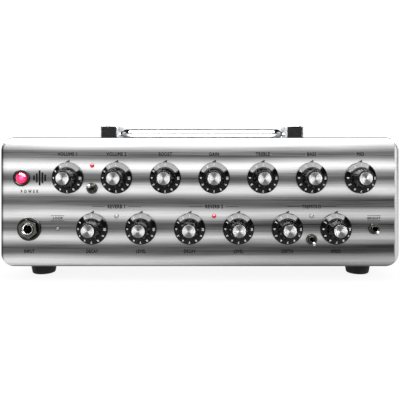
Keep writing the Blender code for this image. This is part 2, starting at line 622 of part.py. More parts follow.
# ---- toggle switches -------------------------------------------------------------------------
def toggles():
    nut_thick = 2 * MM
    bush_proud = 3.8 * MM
    bore = 2.35 * MM
    behind = FACE_THICK + GAP

    def body(bm):
        width, depth, height = TOGGLE_BODY
        add_box(bm, (-width / 2, behind, -height / 2), (width / 2, behind + depth, height / 2))

    def bush(bm):
        solid = [(0, -behind - 1 * MM), (TOGGLE_BUSH_RADIUS, -behind - 1 * MM)]
        solid += [(TOGGLE_BUSH_RADIUS, bush_proud), (0, bush_proud)]
        add_turned(bm, solid, 16, "Y")

    def cavity(bm):
        floor, mouth = -TOGGLE_PIVOT_DEPTH - 2.4 * MM, bush_proud + 1 * MM
        add_turned(bm, [(0, floor), (bore, floor), (bore, mouth), (0, mouth)], 16, "Y")

    def nut(bm):
        add_prism(bm, hexagon(8 * MM, math.radians(30)), -GAP - nut_thick, -GAP, "Y")

    def nut_hole(bm):
        add_prism(bm, circle(TOGGLE_BUSH_RADIUS + GAP, 16), -2 * nut_thick, 1 * MM, "Y")

    ball, neck, tip = 1.7 * MM, 1.15 * MM, 1.6 * MM
    lever_profile = [(0, -ball), (ball * 0.87, -ball / 2), (ball * 0.87, ball / 2), (neck, 1.4 * MM)]
    lever_profile += [(neck * 1.05, 5.5 * MM), (tip, 10.4 * MM), (tip * 0.75, 11.3 * MM), (0, 11.6 * MM)]
    lever_mesh = mesh_of("toggle_lever", lambda bm: add_turned(bm, lever_profile, 12, "Y"))
    nut_mesh = mesh_of("toggle_nut", nut)
    body_mesh = mesh_of("toggle_body", body)
    for name, (x, z, lean) in TOGGLES.items():
        location = Vector((x, FRONT_Y, z))
        made = place(f"{name}_body", body_mesh, STEEL, location)
        boolean(made, "UNION", helper(f"{name}_bush", bush, location))
        boolean(made, "DIFFERENCE", helper(f"{name}_cavity", cavity, location))
        ring = place(f"{name}_nut", nut_mesh, CHROME, location)
        boolean(ring, "DIFFERENCE", helper(f"{name}_nut_hole", nut_hole, location))
        pivot = location + Vector((0, TOGGLE_PIVOT_DEPTH, 0))
        place(f"{name}_lever", lever_mesh, CHROME, pivot, (-lean * TOGGLE_TILT, 0, 0))


# ---- jacks -----------------------------------------------------------------------------------
def jack_body_mesh(thick):
    """A plug-in jack behind a panel of this thickness: square housing, round bush, blind bore."""

    def build(bm):
        half, near = JACK_HOUSING_HALF, thick + GAP
        add_box(bm, (-half, near, -half), (half, near + JACK_HOUSING_DEPTH, half))

    return mesh_of("jack_body", build)


def jack(name, location, thick, outward):
    """outward is 1 on the rear panel, whose jacks are turned round."""
    turn = (0, 0, math.pi if outward == 1 else 0)
    body = place(name, jack_body_mesh(thick), BLACK_MATT, location, turn)

    def bush(bm):
        root = -thick - 2 * MM
        solid = [(0, root), (JACK_BUSH_RADIUS, root), (JACK_BUSH_RADIUS, JACK_PROUD), (0, JACK_PROUD)]
        add_turned(bm, solid, 16, "Y")

    def bore(bm):
        floor = JACK_PROUD - JACK_BORE_DEPTH
        chamfer = JACK_BORE_RADIUS + 0.7 * MM
        solid = [(0, floor), (JACK_BORE_RADIUS, floor), (JACK_BORE_RADIUS, JACK_PROUD - 0.8 * MM)]
        solid += [(chamfer, JACK_PROUD + 0.2 * MM), (0, JACK_PROUD + 0.2 * MM)]
        add_turned(bm, solid, 16, "Y")

    for operation, build in (("UNION", bush), ("DIFFERENCE", bore)):
        other = helper(f"{name}_{operation.lower()}", build, location)
        other.rotation_euler = turn
        boolean(body, operation, other)
    return body


def input_jack():
    location = (JACK_X, FRONT_Y, JACK_Z)
    jack("input_jack", location, FACE_THICK, -1)
    inside = JACK_BUSH_RADIUS + GAP

    def collar(bm):
        edge = JACK_COLLAR_RADIUS
        profile = [
            (inside, GAP),
            (edge, GAP),
            (edge, JACK_COLLAR_THICK - 0.5 * MM),
            (edge - 0.8 * MM, JACK_COLLAR_THICK),
            (inside, JACK_COLLAR_THICK),
        ]
        add_turned(bm, profile, 28, "Y")

    def nut(bm):
        near = -JACK_COLLAR_THICK - GAP
        add_prism(bm, hexagon(JACK_NUT_ACROSS_FLATS, math.radians(8)), near - JACK_NUT_THICK, near, "Y")

    def nut_hole(bm):
        add_prism(bm, circle(inside, 16), -3 * JACK_NUT_THICK, 1 * MM, "Y")

    place("input_jack_collar", mesh_of("jack_collar", collar), BLACK_GLOSS, location)
    ring = place("input_jack_nut", mesh_of("jack_nut", nut), CHROME, location)
    boolean(ring, "DIFFERENCE", helper("input_nut_hole", nut_hole, location))


def rear_jacks():
    """Jacks whose nuts are one with them, unlike the input jack's, whose collar and nut are pieces."""

    def nut(bm):
        add_prism(bm, hexagon(JACK_NUT_ACROSS_FLATS), -GAP - JACK_NUT_THICK, -GAP, "Y")

    def bore(bm):
        add_prism(bm, circle(JACK_BORE_RADIUS, 16), -3 * JACK_NUT_THICK, 1 * MM, "Y")

    for name, x in REAR_JACKS.items():
        location = (x, REAR_FACE_Y, REAR_Z)
        made = jack(name, location, REAR_THICK, 1)
        for operation, build in (("UNION", nut), ("DIFFERENCE", bore)):
            other = helper(f"{name}_nut_{operation.lower()}", build, location)
            other.rotation_euler = (0, 0, math.pi)
            boolean(made, operation, other)


# ---- mains inlet, power switch and fuse ------------------------------------------------------
def mains_inlet():
    width, height = INLET_BODY
    cavity_x, cavity_z, cavity_y = INLET_CAVITY
    flange = (30.5 * MM, 24 * MM, 2.4 * MM)

    def body(bm):
        outline = rounded_rectangle(width, height, 1.5 * MM, 1)
        add_prism(bm, outline, -REAR_THICK - 20 * MM, 1 * MM, "Y")

    def rim(bm):
        outline = rounded_rectangle(flange[0], flange[1], 2 * MM, 3)
        add_prism(bm, outline, GAP, GAP + flange[2], "Y")

    def cavity(bm):
        mouth = GAP + flange[2] + 1 * MM
        outline = rounded_rectangle(cavity_x, cavity_z, 2 * MM, 2)
        add_prism(bm, outline, mouth - 1 * MM - cavity_y, mouth, "Y")

    def pins(bm):
        base, tip = GAP + flange[2] - cavity_y - 1 * MM, GAP + flange[2] - 6 * MM
        for x, z in ((-7 * MM, -2 * MM), (0, 2 * MM), (7 * MM, -2 * MM)):
            add_prism(bm, rounded_rectangle(2 * MM, 4 * MM, 0.4 * MM, 1), base, tip, "Y", (x, 0, z))

    location = (INLET_X, REAR_FACE_Y, REAR_Z)
    inlet = place("mains_inlet", mesh_of("inlet", body), BLACK_MATT, location)
    for operation, build in (("UNION", rim), ("DIFFERENCE", cavity), ("UNION", pins)):
        boolean(inlet, operation, helper(f"inlet_{build.__name__}", build, location))


def power_switch():
    """A rocker that tips about a level axis in its frame, its lower end pressed at rest."""
    width, height = SWITCH_BODY
    wall = 1.1 * MM
    flange = 1.6 * MM
    inside = (width - 2 * wall, height - 2 * wall)

    def body(bm):
        add_prism(bm, rounded_rectangle(width, height, 0.5 * MM, 1), -REAR_THICK - 14 * MM, 1 * MM, "Y")

    def rim(bm):
        outline = rounded_rectangle(width + 3 * MM, height + 3 * MM, 1.2 * MM, 2)
        add_prism(bm, outline, GAP, GAP + flange, "Y")

    def cavity(bm):
        floor, mouth = -9 * MM, 4 * MM
        add_box(bm, (-inside[0] / 2, floor, -inside[1] / 2), (inside[0] / 2, mouth, inside[1] / 2))

    location = (SWITCH_X, REAR_FACE_Y, REAR_Z)
    frame = place("power_switch_frame", mesh_of("switch_frame", body), BLACK_MATT, location)
    for operation, build in (("UNION", rim), ("DIFFERENCE", cavity)):
        boolean(frame, operation, helper(f"switch_{build.__name__}", build, location))

    half_x = inside[0] / 2 - GAP
    reach = REAR_PROUD + REAR_RECESS + ROCKER_PIVOT_DEPTH  # pivot to the rocker's furthest point
    half_z = inside[1] / 2 - 0.7 * MM
    # The paddle's face is a shallow V, so the half that isn't pressed lies square to the panel.
    face_y = (reach - half_z * math.sin(ROCKER_TILT)) / math.cos(ROCKER_TILT)
    valley = face_y - half_z * math.tan(ROCKER_TILT)
    back, back_z = -1.2 * MM, half_z * 0.55
    outline = [(face_y, half_z), (valley, 0), (face_y, -half_z), (back, -back_z), (back, back_z)]
    mesh = mesh_of("rocker", lambda bm: add_prism(bm, outline, -half_x, half_x, "X"))
    pivot = (SWITCH_X, REAR_FACE_Y - ROCKER_PIVOT_DEPTH, REAR_Z)
    place("power_rocker", mesh, BLACK_GLOSS, pivot, (-ROCKER_TILT, 0, 0))


def fuse_holder():
    profile = [
        (0, -REAR_THICK - 26 * MM),
        (FUSE_RADIUS - 1 * MM, -REAR_THICK - 26 * MM),
        (FUSE_RADIUS, -REAR_THICK - 4 * MM),
        (FUSE_RADIUS, GAP),
        (8.4 * MM, GAP),
        (8.4 * MM, 1.6 * MM),
        (6.4 * MM, 2 * MM),
        (6 * MM, 4.6 * MM),
        (0, 4.6 * MM),
    ]
    mesh = mesh_of("fuse", lambda bm: add_turned(bm, profile, 20, "Y"))
    place("fuse_holder", mesh, BLACK_MATT, (FUSE_X, REAR_FACE_Y, REAR_Z), (0, 0, math.pi))


# ---- inside ----------------------------------------------------------------------------------
STANDOFF = 6 * MM
BOARD_Z = TRAY_TOP + STANDOFF


def board_with_parts(name, low, high, boxes, cans, finish):
    """A circuit board on four pillars, with its parts soldered on. Boxes are (x, y, width, depth, height) and
    cans (x, y, radius, height), in mm from the board's corner."""
    bite = 0.4 * MM

    def board(bm):
        add_box(bm, (*low, BOARD_Z), (*high, BOARD_Z + BOARD_THICK))

    def parts(bm):
        top = BOARD_Z + BOARD_THICK - bite
        for x, y, w, d, h in boxes:
            corner = (low[0] + x * MM, low[1] + y * MM)
            add_box(bm, (*corner, top), (corner[0] + w * MM, corner[1] + d * MM, top + h * MM))
        for x, y, r, h in cans:
            add_prism(bm, circle(r * MM, 12), top, top + h * MM, "Z", (low[0] + x * MM, low[1] + y * MM, 0))

    def pillars(bm):
        inset = 5 * MM
        for x in (low[0] + inset, high[0] - inset):
            for y in (low[1] + inset, high[1] - inset):
                add_prism(bm, circle(2.6 * MM, 8), TRAY_TOP + GAP, BOARD_Z + bite, "Z", (x, y, 0))

    made = place(name, mesh_of(name, board), finish)
    boolean(made, "UNION", helper(f"{name}_parts", parts))
    boolean(made, "UNION", helper(f"{name}_pillars", pillars))


def main_board():
    board_with_parts(
        "main_board",
        (-92 * MM, -44 * MM),
        (78 * MM, 50 * MM),
        [(10 + 24 * i, 12 + 22 * j, 12, 7, 4) for i in range(4) for j in range(2)]
        + [(14, 62, 30, 12, 10), (54, 62, 22, 14, 16), (84, 66, 16, 20, 9)]
        + [(122, 8, 18, 8, 20), (148, 10, 16, 22, 14), (126, 78, 34, 8, 12)],
        [(20 + 11 * i, 84, 3.4, 11) for i in range(4)]
        + [(132, 34, 11, 34), (132, 60, 11, 34), (158, 46, 5, 16), (158, 62, 5, 16)],
        BOARD,
    )


TOROID_X, TOROID_Y = 120 * MM, 2 * MM
TOROID_RADIUS, TOROID_EYE, TOROID_HEIGHT = 36 * MM, 12 * MM, 36 * MM


def transformer():
    corner = 7 * MM
    section = [
        Vector(((TOROID_RADIUS + TOROID_EYE) / 2, TRAY_TOP + GAP + TOROID_HEIGHT / 2)) + p
        for p in rounded_rectangle(TOROID_RADIUS - TOROID_EYE, TOROID_HEIGHT, corner, 2)
    ]
    mesh = mesh_of("toroid", lambda bm: add_turned(bm, [tuple(p) for p in section], 28))
    place("toroidal_transformer", mesh, TAPE, (TOROID_X, TOROID_Y, 0))
    top = TRAY_TOP + GAP + TOROID_HEIGHT
    bolt = 3 * MM
    clamp = [
        (0, TRAY_TOP + GAP),
        (bolt, TRAY_TOP + GAP),
        (bolt, top + GAP),
        (26 * MM, top + GAP),
        (26 * MM, top + GAP + 1.5 * MM),
        (5 * MM, top + GAP + 1.5 * MM),
        (5 * MM, top + GAP + 5 * MM),
        (0, top + GAP + 5 * MM),
    ]
    mesh = mesh_of("clamp", lambda bm: add_turned(bm, clamp, 24))
    place("transformer_clamp", mesh, STEEL, (TOROID_X, TOROID_Y, 0))


def heat_sink():
    """A finned extrusion at the left of the tray, its fins upright."""
    fins, pitch, fin, base, tall = 8, 6 * MM, 1.8 * MM, 5 * MM, 46 * MM
    left = -151 * MM
    outline = [(left, TRAY_TOP + GAP)]
    for i in range(fins):
        x = left + i * pitch
        outline += [(x, TRAY_TOP + GAP + tall), (x + fin, TRAY_TOP + GAP + tall)]
        if i < fins - 1:
            outline += [(x + fin, TRAY_TOP + GAP + base), (x + pitch, TRAY_TOP + GAP + base)]
    outline.append((left + (fins - 1) * pitch + fin, TRAY_TOP + GAP))
    mesh = mesh_of("heat_sink", lambda bm: add_prism(bm, outline, -38 * MM, 50 * MM, "Y"))
    place("heat_sink", mesh, HEATSINK)


# ---- the whole amp ---------------------------------------------------------------------------
face_plate()
case_sleeve()
chassis_tray()
rear_panel()
feet()
handle_blocks()
bail()
knobs()
control_boards()
lamps()
pilot_light()
toggles()
input_jack()
rear_jacks()
mains_inlet()
power_switch()
fuse_holder()
main_board()
transformer()
heat_sink()
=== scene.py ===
"""Looks of the compact guitar amp head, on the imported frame: brushed face plate with printed labels, skirted
knobs with spun caps, chrome hardware, satin sleeve, and the studio that they are seen in.

Metres, +Z up. The face looks along -Y.
"""

import json
import math

import bmesh
import bpy
from mathutils import Matrix, Vector

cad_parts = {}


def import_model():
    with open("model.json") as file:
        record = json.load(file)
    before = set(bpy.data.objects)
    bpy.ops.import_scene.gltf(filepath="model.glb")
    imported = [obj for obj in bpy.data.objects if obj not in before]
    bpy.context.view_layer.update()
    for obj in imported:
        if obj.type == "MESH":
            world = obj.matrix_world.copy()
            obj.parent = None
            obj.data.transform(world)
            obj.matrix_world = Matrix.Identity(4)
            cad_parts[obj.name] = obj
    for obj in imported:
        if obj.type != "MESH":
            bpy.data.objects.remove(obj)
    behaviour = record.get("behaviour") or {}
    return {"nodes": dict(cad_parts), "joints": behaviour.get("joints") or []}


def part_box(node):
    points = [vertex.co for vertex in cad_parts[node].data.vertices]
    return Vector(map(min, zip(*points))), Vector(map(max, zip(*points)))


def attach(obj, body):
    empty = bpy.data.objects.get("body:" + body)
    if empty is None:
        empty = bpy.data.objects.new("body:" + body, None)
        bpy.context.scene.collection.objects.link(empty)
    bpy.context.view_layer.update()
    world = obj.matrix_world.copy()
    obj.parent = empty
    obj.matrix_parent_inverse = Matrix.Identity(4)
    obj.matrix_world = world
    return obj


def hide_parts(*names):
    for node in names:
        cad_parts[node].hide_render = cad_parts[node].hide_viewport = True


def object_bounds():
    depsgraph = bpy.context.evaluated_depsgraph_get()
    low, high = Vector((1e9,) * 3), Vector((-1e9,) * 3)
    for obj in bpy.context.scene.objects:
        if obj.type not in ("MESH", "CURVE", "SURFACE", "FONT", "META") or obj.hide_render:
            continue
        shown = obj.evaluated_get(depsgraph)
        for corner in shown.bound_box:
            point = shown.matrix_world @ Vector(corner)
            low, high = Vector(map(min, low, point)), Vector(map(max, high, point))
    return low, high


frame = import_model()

MM = 0.001
CAD_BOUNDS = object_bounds()
CASE = "case"


# ---- places, from the frame ------------------------------------------------------------------
def centre(node):
    low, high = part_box(node)
    return (low + high) / 2


def nodes_starting(prefix):
    return sorted(name for name in frame["nodes"] if name.startswith(prefix))


def nodes_ending(*endings):
    return sorted(name for name in frame["nodes"] if name.endswith(endings))


def joint_of(body):
    return next(joint for joint in frame["joints"] if joint["child"] == body)


FACE_LOW, FACE_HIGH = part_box("front_panel")
SLEEVE_LOW, SLEEVE_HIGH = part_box("case_sleeve")
REAR_LOW, REAR_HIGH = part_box("rear_panel")
FRONT_Y = FACE_LOW.y
REAR_Y = REAR_HIGH.y
FACE_BOTTOM = FACE_LOW.z
CORNER_RADIUS = 11 * MM
SLEEVE_WALL = 2.5 * MM
KNOBS = nodes_starting("knob_")
KNOB_HEIGHT = FRONT_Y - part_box(KNOBS[0])[0].y
UPPER_ROW_Z = max(centre(name).z for name in KNOBS)
LOWER_ROW_Z = min(centre(name).z for name in KNOBS)


# ---- materials -------------------------------------------------------------------------------
class Surface:
    """A material with its Principled shader, and short ways to add procedural nodes to it."""

    def __init__(self, name, colour, roughness, metallic=0.0, **sockets):
        self.material = bpy.data.materials.new(name)
        self.material.use_nodes = True
        self.tree = self.material.node_tree
        self.shader = self.tree.nodes["Principled BSDF"]
        self.shader.inputs["Base Color"].default_value = (*colour, 1)
        self.shader.inputs["Roughness"].default_value = roughness
        self.shader.inputs["Metallic"].default_value = metallic
        for socket, value in sockets.items():
            self.shader.inputs[socket.replace("_", " ")].default_value = value
        self.place = self.tree.nodes.new("ShaderNodeTexCoord").outputs["Object"]

    def node(self, kind, inputs=(), **settings):
        made = self.tree.nodes.new(kind)
        for key, value in settings.items():
            setattr(made, key, value)
        for key, value in dict(inputs).items():
            if isinstance(value, bpy.types.NodeSocket):
                self.tree.links.new(value, made.inputs[key])
            else:
                made.inputs[key].default_value = value
        return made

    def scaled(self, x, y, z):
        """Object coordinates, stretched."""
        return self.node("ShaderNodeMapping", {"Vector": self.place, "Scale": (x, y, z)}).outputs["Vector"]

    def noise(self, scale, detail=3.0, rough=0.55, stretch=(1, 1, 1)):
        inputs = {"Vector": self.scaled(*stretch), "Scale": scale, "Detail": detail, "Roughness": rough}
        return self.node("ShaderNodeTexNoise", inputs).outputs["Fac"]

    def maths(self, operation, a, b=0.0, c=0.0):
        return self.node("ShaderNodeMath", {0: a, 1: b, 2: c}, operation=operation).outputs["Value"]

    def spread(self, value, low, high, from_low=0.3, from_high=0.7):
        """Maps a noise's usual range onto low to high."""
        inputs = {"Value": value, "From Min": from_low, "From Max": from_high, "To Min": low, "To Max": high}
        return self.node("ShaderNodeMapRange", inputs).outputs["Result"]

    def ramp(self, value, stops):
        """A colour ramp from (position, colour) stops."""
        made = self.node("ShaderNodeValToRGB", {"Fac": value})
        elements = made.color_ramp.elements
        while len(elements) < len(stops):
            elements.new(0.5)
        for element, (position, colour) in zip(elements, stops):
            element.position = position
            element.color = (*colour, 1)
        return made.outputs["Color"]

    def link(self, socket, value):
        self.tree.links.new(value, self.shader.inputs[socket])

    def bump(self, height, distance, strength=1.0):
        inputs = {"Height": height, "Distance": distance, "Strength": strength}
        self.link("Normal", self.node("ShaderNodeBump", inputs).outputs["Normal"])

    def axis(self, letter):
        split = self.node("ShaderNodeSeparateXYZ", {"Vector": self.place})
        return split.outputs[letter]


BAND_PITCH = 19.65 * MM
BAND_TOP = FACE_HIGH.z - 4 * MM  # height of the first bright painted reflection band


def brushed_face_painted_reflections():
    """Aluminium brushed along X. Its light and dark bands are painted reflections in the base colour, with
    painted shade darker to the lower right and along the rims, and painted highlights along the top and the
    right rim.
    """
    made = Surface("brushed_face_painted_reflections", (0.7, 0.7, 0.7), 0.3, 1.0, Anisotropic=0.55)
    height, across = made.axis("Z"), made.axis("X")
    # Painted reflections: cosine bands in the base colour, not waves in the surface.
    drift = made.spread(made.noise(9, 2, 0.5, (0.6, 1, 3)), -0.07, 0.07)
    turns = made.maths("DIVIDE", made.maths("SUBTRACT", BAND_TOP, height), BAND_PITCH)
    phase = made.maths("MULTIPLY", made.maths("ADD", turns, drift), 2 * math.pi)
    painted_band = made.maths("MULTIPLY_ADD", made.maths("COSINE", phase), 0.5, 0.5)
    level = made.maths("MULTIPLY_ADD", made.maths("POWER", painted_band, 1.5), 0.72, 0.14)
    grain = made.noise(1, 6, 0.7, (14, 100, 1500))
    streaks = made.noise(1, 3, 0.6, (5, 40, 330))
    level = made.maths("ADD", level, made.spread(grain, -0.07, 0.07))
    level = made.maths("ADD", level, made.spread(streaks, -0.06, 0.06))
    # Painted shade: the bands grow darker towards the lower right.
    rightward = made.spread(across, 0, 1, FACE_LOW.x, FACE_HIGH.x * 0.6)
    downward = made.spread(height, 0, 1, FACE_HIGH.z, FACE_LOW.z)
    shade = made.maths("MULTIPLY", rightward, downward)
    kept = made.maths("MULTIPLY_ADD", shade, -0.42, 1)
    level = made.maths("MULTIPLY", level, kept)
    level = made.maths("MULTIPLY_ADD", shade, -0.06, level)
    # Painted highlight: a brighter band along the top edge.
    painted_top_highlight = made.spread(height, 0, 0.42, FACE_HIGH.z - 11.5 * MM, FACE_HIGH.z - 8 * MM)
    level = made.maths("MAXIMUM", level, painted_top_highlight)
    # Painted highlight: a bright strip near the right rim.
    lit_rim = made.spread(across, 0, 0.7, FACE_HIGH.x - 5 * MM, FACE_HIGH.x - 3.6 * MM)
    level = made.maths("MAXIMUM", level, lit_rim)
    # Painted shade: darker lines along the plate's rims and its top and bottom edges.
    edge_shades = (  # along, edge, the level before and after, and the change's start and end in millimetres
        (across, FACE_LOW.x, 0.3, 1, 2.3, 3.1),
        (across, FACE_HIGH.x, 1, 0.3, -0.9, -0.4),
        (height, FACE_HIGH.z, 1, 0.3, -2.6, -1.6),
        (height, FACE_HIGH.z, 1, 0.3, -0.8, -0.3),
        (height, FACE_LOW.z, 0.35, 1, 0.9, 1.5),
    )
    for along, edge, before, after, start, end in edge_shades:
        edge_level = made.spread(along, before, after, edge + start * MM, edge + end * MM)
        level = made.maths("MULTIPLY", level, edge_level)
    made.link("Base Color", made.ramp(level, [(0.0, (0.015,) * 3), (0.14, (0.13,) * 3), (1.0, (0.93,) * 3)]))
    made.link("Roughness", made.spread(grain, 0.24, 0.38))
    made.link("Tangent", made.node("ShaderNodeTangent", direction_type="RADIAL", axis="Z").outputs["Tangent"])
    made.bump(grain, 0.02 * MM, 0.5)
    return made.material


def satin_sleeve():
    """Fine blasted and anodised aluminium, with faint handling marks."""
    made = Surface("satin_sleeve", (0.6, 0.61, 0.62), 0.4, 1.0)
    fine = made.noise(2600, 2, 0.5)
    cloud = made.noise(30, 4, 0.6)
    tone = made.maths("ADD", made.spread(cloud, 0.3, 0.7), made.spread(fine, -0.12, 0.12))
    made.link("Base Color", made.ramp(tone, [(0.2, (0.33, 0.335, 0.34)), (0.8, (0.46, 0.465, 0.47))]))
    made.link("Roughness", made.spread(cloud, 0.34, 0.46))
    made.bump(fine, 0.012 * MM, 0.6)
    return made.material


def metal(name, colour, roughness, grain=0.02, scale=900):
    made = Surface(name, colour, roughness, 1.0)
    fine = made.noise(scale, 3, 0.55)
    dark = tuple(c * 0.82 for c in colour)
    made.link("Base Color", made.ramp(made.spread(fine, 0, 1), [(0.0, dark), (1.0, colour)]))
    made.link("Roughness", made.spread(fine, roughness * 0.75, roughness * 1.35))
    made.bump(fine, grain * MM, 0.3)
    return made.material


def plastic(name, colour, roughness, pebble, scale=1400, coat=0.0, shine=0.5):
    made = Surface(
        name, colour, roughness, 0.0, Coat_Weight=coat, Coat_Roughness=0.05, Specular_IOR_Level=shine
    )
    fine = made.noise(scale, 3, 0.6)
    worn = tuple(min(1.0, c * 1.8 + 0.003) for c in colour)
    made.link("Base Color", made.ramp(made.spread(fine, 0, 1), [(0.1, colour), (1.0, worn)]))
    made.link("Roughness", made.spread(fine, roughness * 0.8, roughness * 1.25))
    made.bump(fine, pebble * MM, 0.4)
    return made.material


def rubber():
    made = Surface("foot_rubber", (0.012, 0.012, 0.012), 0.5)
    fine = made.noise(1100, 4, 0.65)
    dust = made.noise(90, 3, 0.6)
    stops = [(0.3, (0.003,) * 3), (1.0, (0.012, 0.011, 0.011))]
    made.link("Base Color", made.ramp(made.spread(dust, 0, 1), stops))
    made.link("Roughness", made.spread(fine, 0.5, 0.7))
    made.shader.inputs["Specular IOR Level"].default_value = 0.2
    made.bump(fine, 0.04 * MM, 0.5)
    return made.material


def spun_cap():
    """Aluminium turned in fine circles about the knob's axis."""
    made = Surface("spun_cap", (0.8, 0.8, 0.8), 0.62, 1.0, Anisotropic=1.0)
    made.link("Tangent", made.node("ShaderNodeTangent", direction_type="RADIAL", axis="Y").outputs["Tangent"])
    flat = made.scaled(1, 0, 1)
    radius = made.node("ShaderNodeVectorMath", {0: flat}, operation="LENGTH").outputs["Value"]
    inputs = {"W": radius, "Scale": 4200.0, "Detail": 2.0}
    rings = made.node("ShaderNodeTexNoise", inputs, noise_dimensions="1D").outputs["Fac"]
    made.link("Base Color", made.ramp(made.spread(rings, 0, 1), [(0.0, (0.2,) * 3), (1.0, (0.34,) * 3)]))
    made.link("Roughness", made.spread(rings, 0.58, 0.66))
    made.bump(rings, 0.01 * MM, 0.5)
    return made.material


def printed(name, colour):
    """Screen-printed ink, slightly uneven."""
    made = Surface(name, colour, 0.7, Specular_IOR_Level=0.04)
    fine = made.noise(3000, 3, 0.6)
    thin = tuple(c * 0.86 + 0.002 for c in colour)
    made.link("Base Color", made.ramp(made.spread(fine, 0, 1), [(0.0, thin), (1.0, colour)]))
    made.link("Roughness", made.spread(fine, 0.42, 0.58))
    return made.material


def glowing(name, rim, body, glow_and_highlight, spot, reach, strength, coat=0.6):
    """A lit lens: brightest at a spot, given from the piece's own origin, and darker towards its rim. The
    bright spot is the lamp's glow, and on the pilot jewel also a painted highlight.
    """
    made = Surface(name, body, 0.12, 0.0, Coat_Weight=coat, Coat_Roughness=0.04)
    offset = made.node("ShaderNodeVectorMath", {0: made.place, 1: spot}, operation="SUBTRACT")
    sides = {0: offset.outputs["Vector"], 1: (1, 0, 1)}
    flat = made.node("ShaderNodeVectorMath", sides, operation="MULTIPLY").outputs["Vector"]
    away = made.node("ShaderNodeVectorMath", {0: flat}, operation="LENGTH").outputs["Value"]
    share = made.maths("DIVIDE", away, reach)
    colours = made.ramp(share, [(0.0, glow_and_highlight), (0.42, body), (1.0, rim)])
    made.link("Emission Color", colours)
    made.link("Base Color", made.ramp(share, [(0.0, body), (1.0, rim)]))
    made.shader.inputs["Emission Strength"].default_value = strength
    return made.material


def unlit_lens(name, middle, edge, coat):
    made = Surface(name, middle, 0.1, 0.0, Coat_Weight=coat, Coat_Roughness=0.03, Specular_IOR_Level=coat)
    # Painted shade: the lens is darker where its dome turns away from the view.
    share = made.node("ShaderNodeLayerWeight", {"Blend": 0.35}).outputs["Facing"]
    cloud = made.noise(900, 2, 0.5)
    mixed = made.maths("ADD", share, made.spread(cloud, -0.1, 0.1))
    made.link("Base Color", made.ramp(mixed, [(0.0, middle), (0.8, edge)]))
    return made.material


def board():
    made = Surface("circuit_board", (0.02, 0.14, 0.06), 0.35, 0.0, Coat_Weight=0.3)
    tracks = made.noise(160, 2, 0.4, (1, 6, 1))
    made.link("Base Color", made.ramp(tracks, [(0.46, (0.012, 0.09, 0.035)), (0.54, (0.03, 0.2, 0.08))]))
    made.bump(tracks, 0.05 * MM, 0.5)
    return made.material


def winding_tape():
    made = Surface("winding_tape", (0.7, 0.45, 0.06), 0.35, 0.0, Coat_Weight=0.4)
    folds = made.noise(120, 3, 0.55, (1, 1, 0.3))
    stops = [(0.0, (0.42, 0.22, 0.03)), (1.0, (0.85, 0.6, 0.12))]
    made.link("Base Color", made.ramp(made.spread(folds, 0, 1), stops))
    made.bump(folds, 0.3 * MM, 0.7)
    return made.material


FACE = brushed_face_painted_reflections()
SLEEVE = satin_sleeve()
CHROME = metal("chrome_plate", (0.55, 0.56, 0.57), 0.06, 0.003)
NICKEL = metal("nickel_hardware", (0.62, 0.61, 0.58), 0.16, 0.006)
DARK_METAL = metal("dark_plated_metal", (0.11, 0.11, 0.1), 0.2, 0.006)
BLOCK_METAL = metal("satin_block", (0.42, 0.43, 0.44), 0.28, 0.01)
STEEL = metal("zinc_steel", (0.46, 0.47, 0.48), 0.35, 0.02, 300)
HEATSINK = metal("black_anodised", (0.035, 0.035, 0.037), 0.45, 0.02)
KNOB_BLACK = plastic("knob_black", (0.0015, 0.0015, 0.0018), 0.1, 0.002, shine=0.2)
GLOSS_BLACK = plastic("gloss_black", (0.003, 0.003, 0.003), 0.14, 0.003, coat=0.1, shine=0.3)
MATT_BLACK = plastic("matt_black", (0.014, 0.014, 0.015), 0.5, 0.03)
CAP_BLACK = plastic("cap_black", (0.005, 0.005, 0.005), 0.35, 0.03, 900, shine=0.08)
RUBBER = rubber()
SPUN = spun_cap()
BLACK_INK = printed("black_ink", (0.005, 0.005, 0.005))
WHITE_INK = printed("white_ink", (0.82, 0.82, 0.8))
CLEAR_LENS = unlit_lens("clear_lens", (0.5, 0.5, 0.51), (0.24, 0.24, 0.25), 0.3)
SMOKED_LENS = unlit_lens("smoked_lens", (0.3, 0.3, 0.3), (0.2, 0.2, 0.2), 0.1)
BOARD = board()
TAPE = winding_tape()


# ---- mesh helpers ----------------------------------------------------------------------------
AROUND_Y = Matrix.Rotation(math.radians(90), 4, "X")  # sends a turned profile's +Z out of the face, to -Y
OUT_REAR = Matrix.Rotation(math.radians(-90), 4, "X")  # and this one out of the rear, to +Y


def rounded_rectangle(width, height, radius, steps=16):
    """Outline of a rectangle with round corners, centred on the origin."""
    points = []
    for corner, (sx, sy) in enumerate(((1, 1), (-1, 1), (-1, -1), (1, -1))):
        middle = Vector((sx * (width / 2 - radius), sy * (height / 2 - radius)))
        for i in range(steps + 1):
            angle = math.radians(90) * (corner + i / steps)
            points.append(middle + radius * Vector((math.cos(angle), math.sin(angle))))
    return points


def section(inner, outer, low, high):
    """Profile of a washer or, with inner 0, of a rod, for turned()."""
    return [(inner, low), (outer, low), (outer, high), (inner, high)]


def circle(radius, steps, turn=0.0):
    angles = (turn + 2 * math.pi * i / steps for i in range(steps))
    return [Vector((radius * math.cos(a), radius * math.sin(a))) for a in angles]


def loft(bm, rings, material=0, close_ends=True):
    """Joins rings of the same number of points, and closes both ends if asked to."""
    made = [[bm.verts.new(point) for point in ring] for ring in rings]
    for near, far in zip(made, made[1:]):
        for i in range(len(near)):
            j = (i + 1) % len(near)
            bm.faces.new((near[i], near[j], far[j], far[i])).material_index = material
    if close_ends:
        bm.faces.new(made[0][::-1]).material_index = material
        bm.faces.new(made[-1]).material_index = material


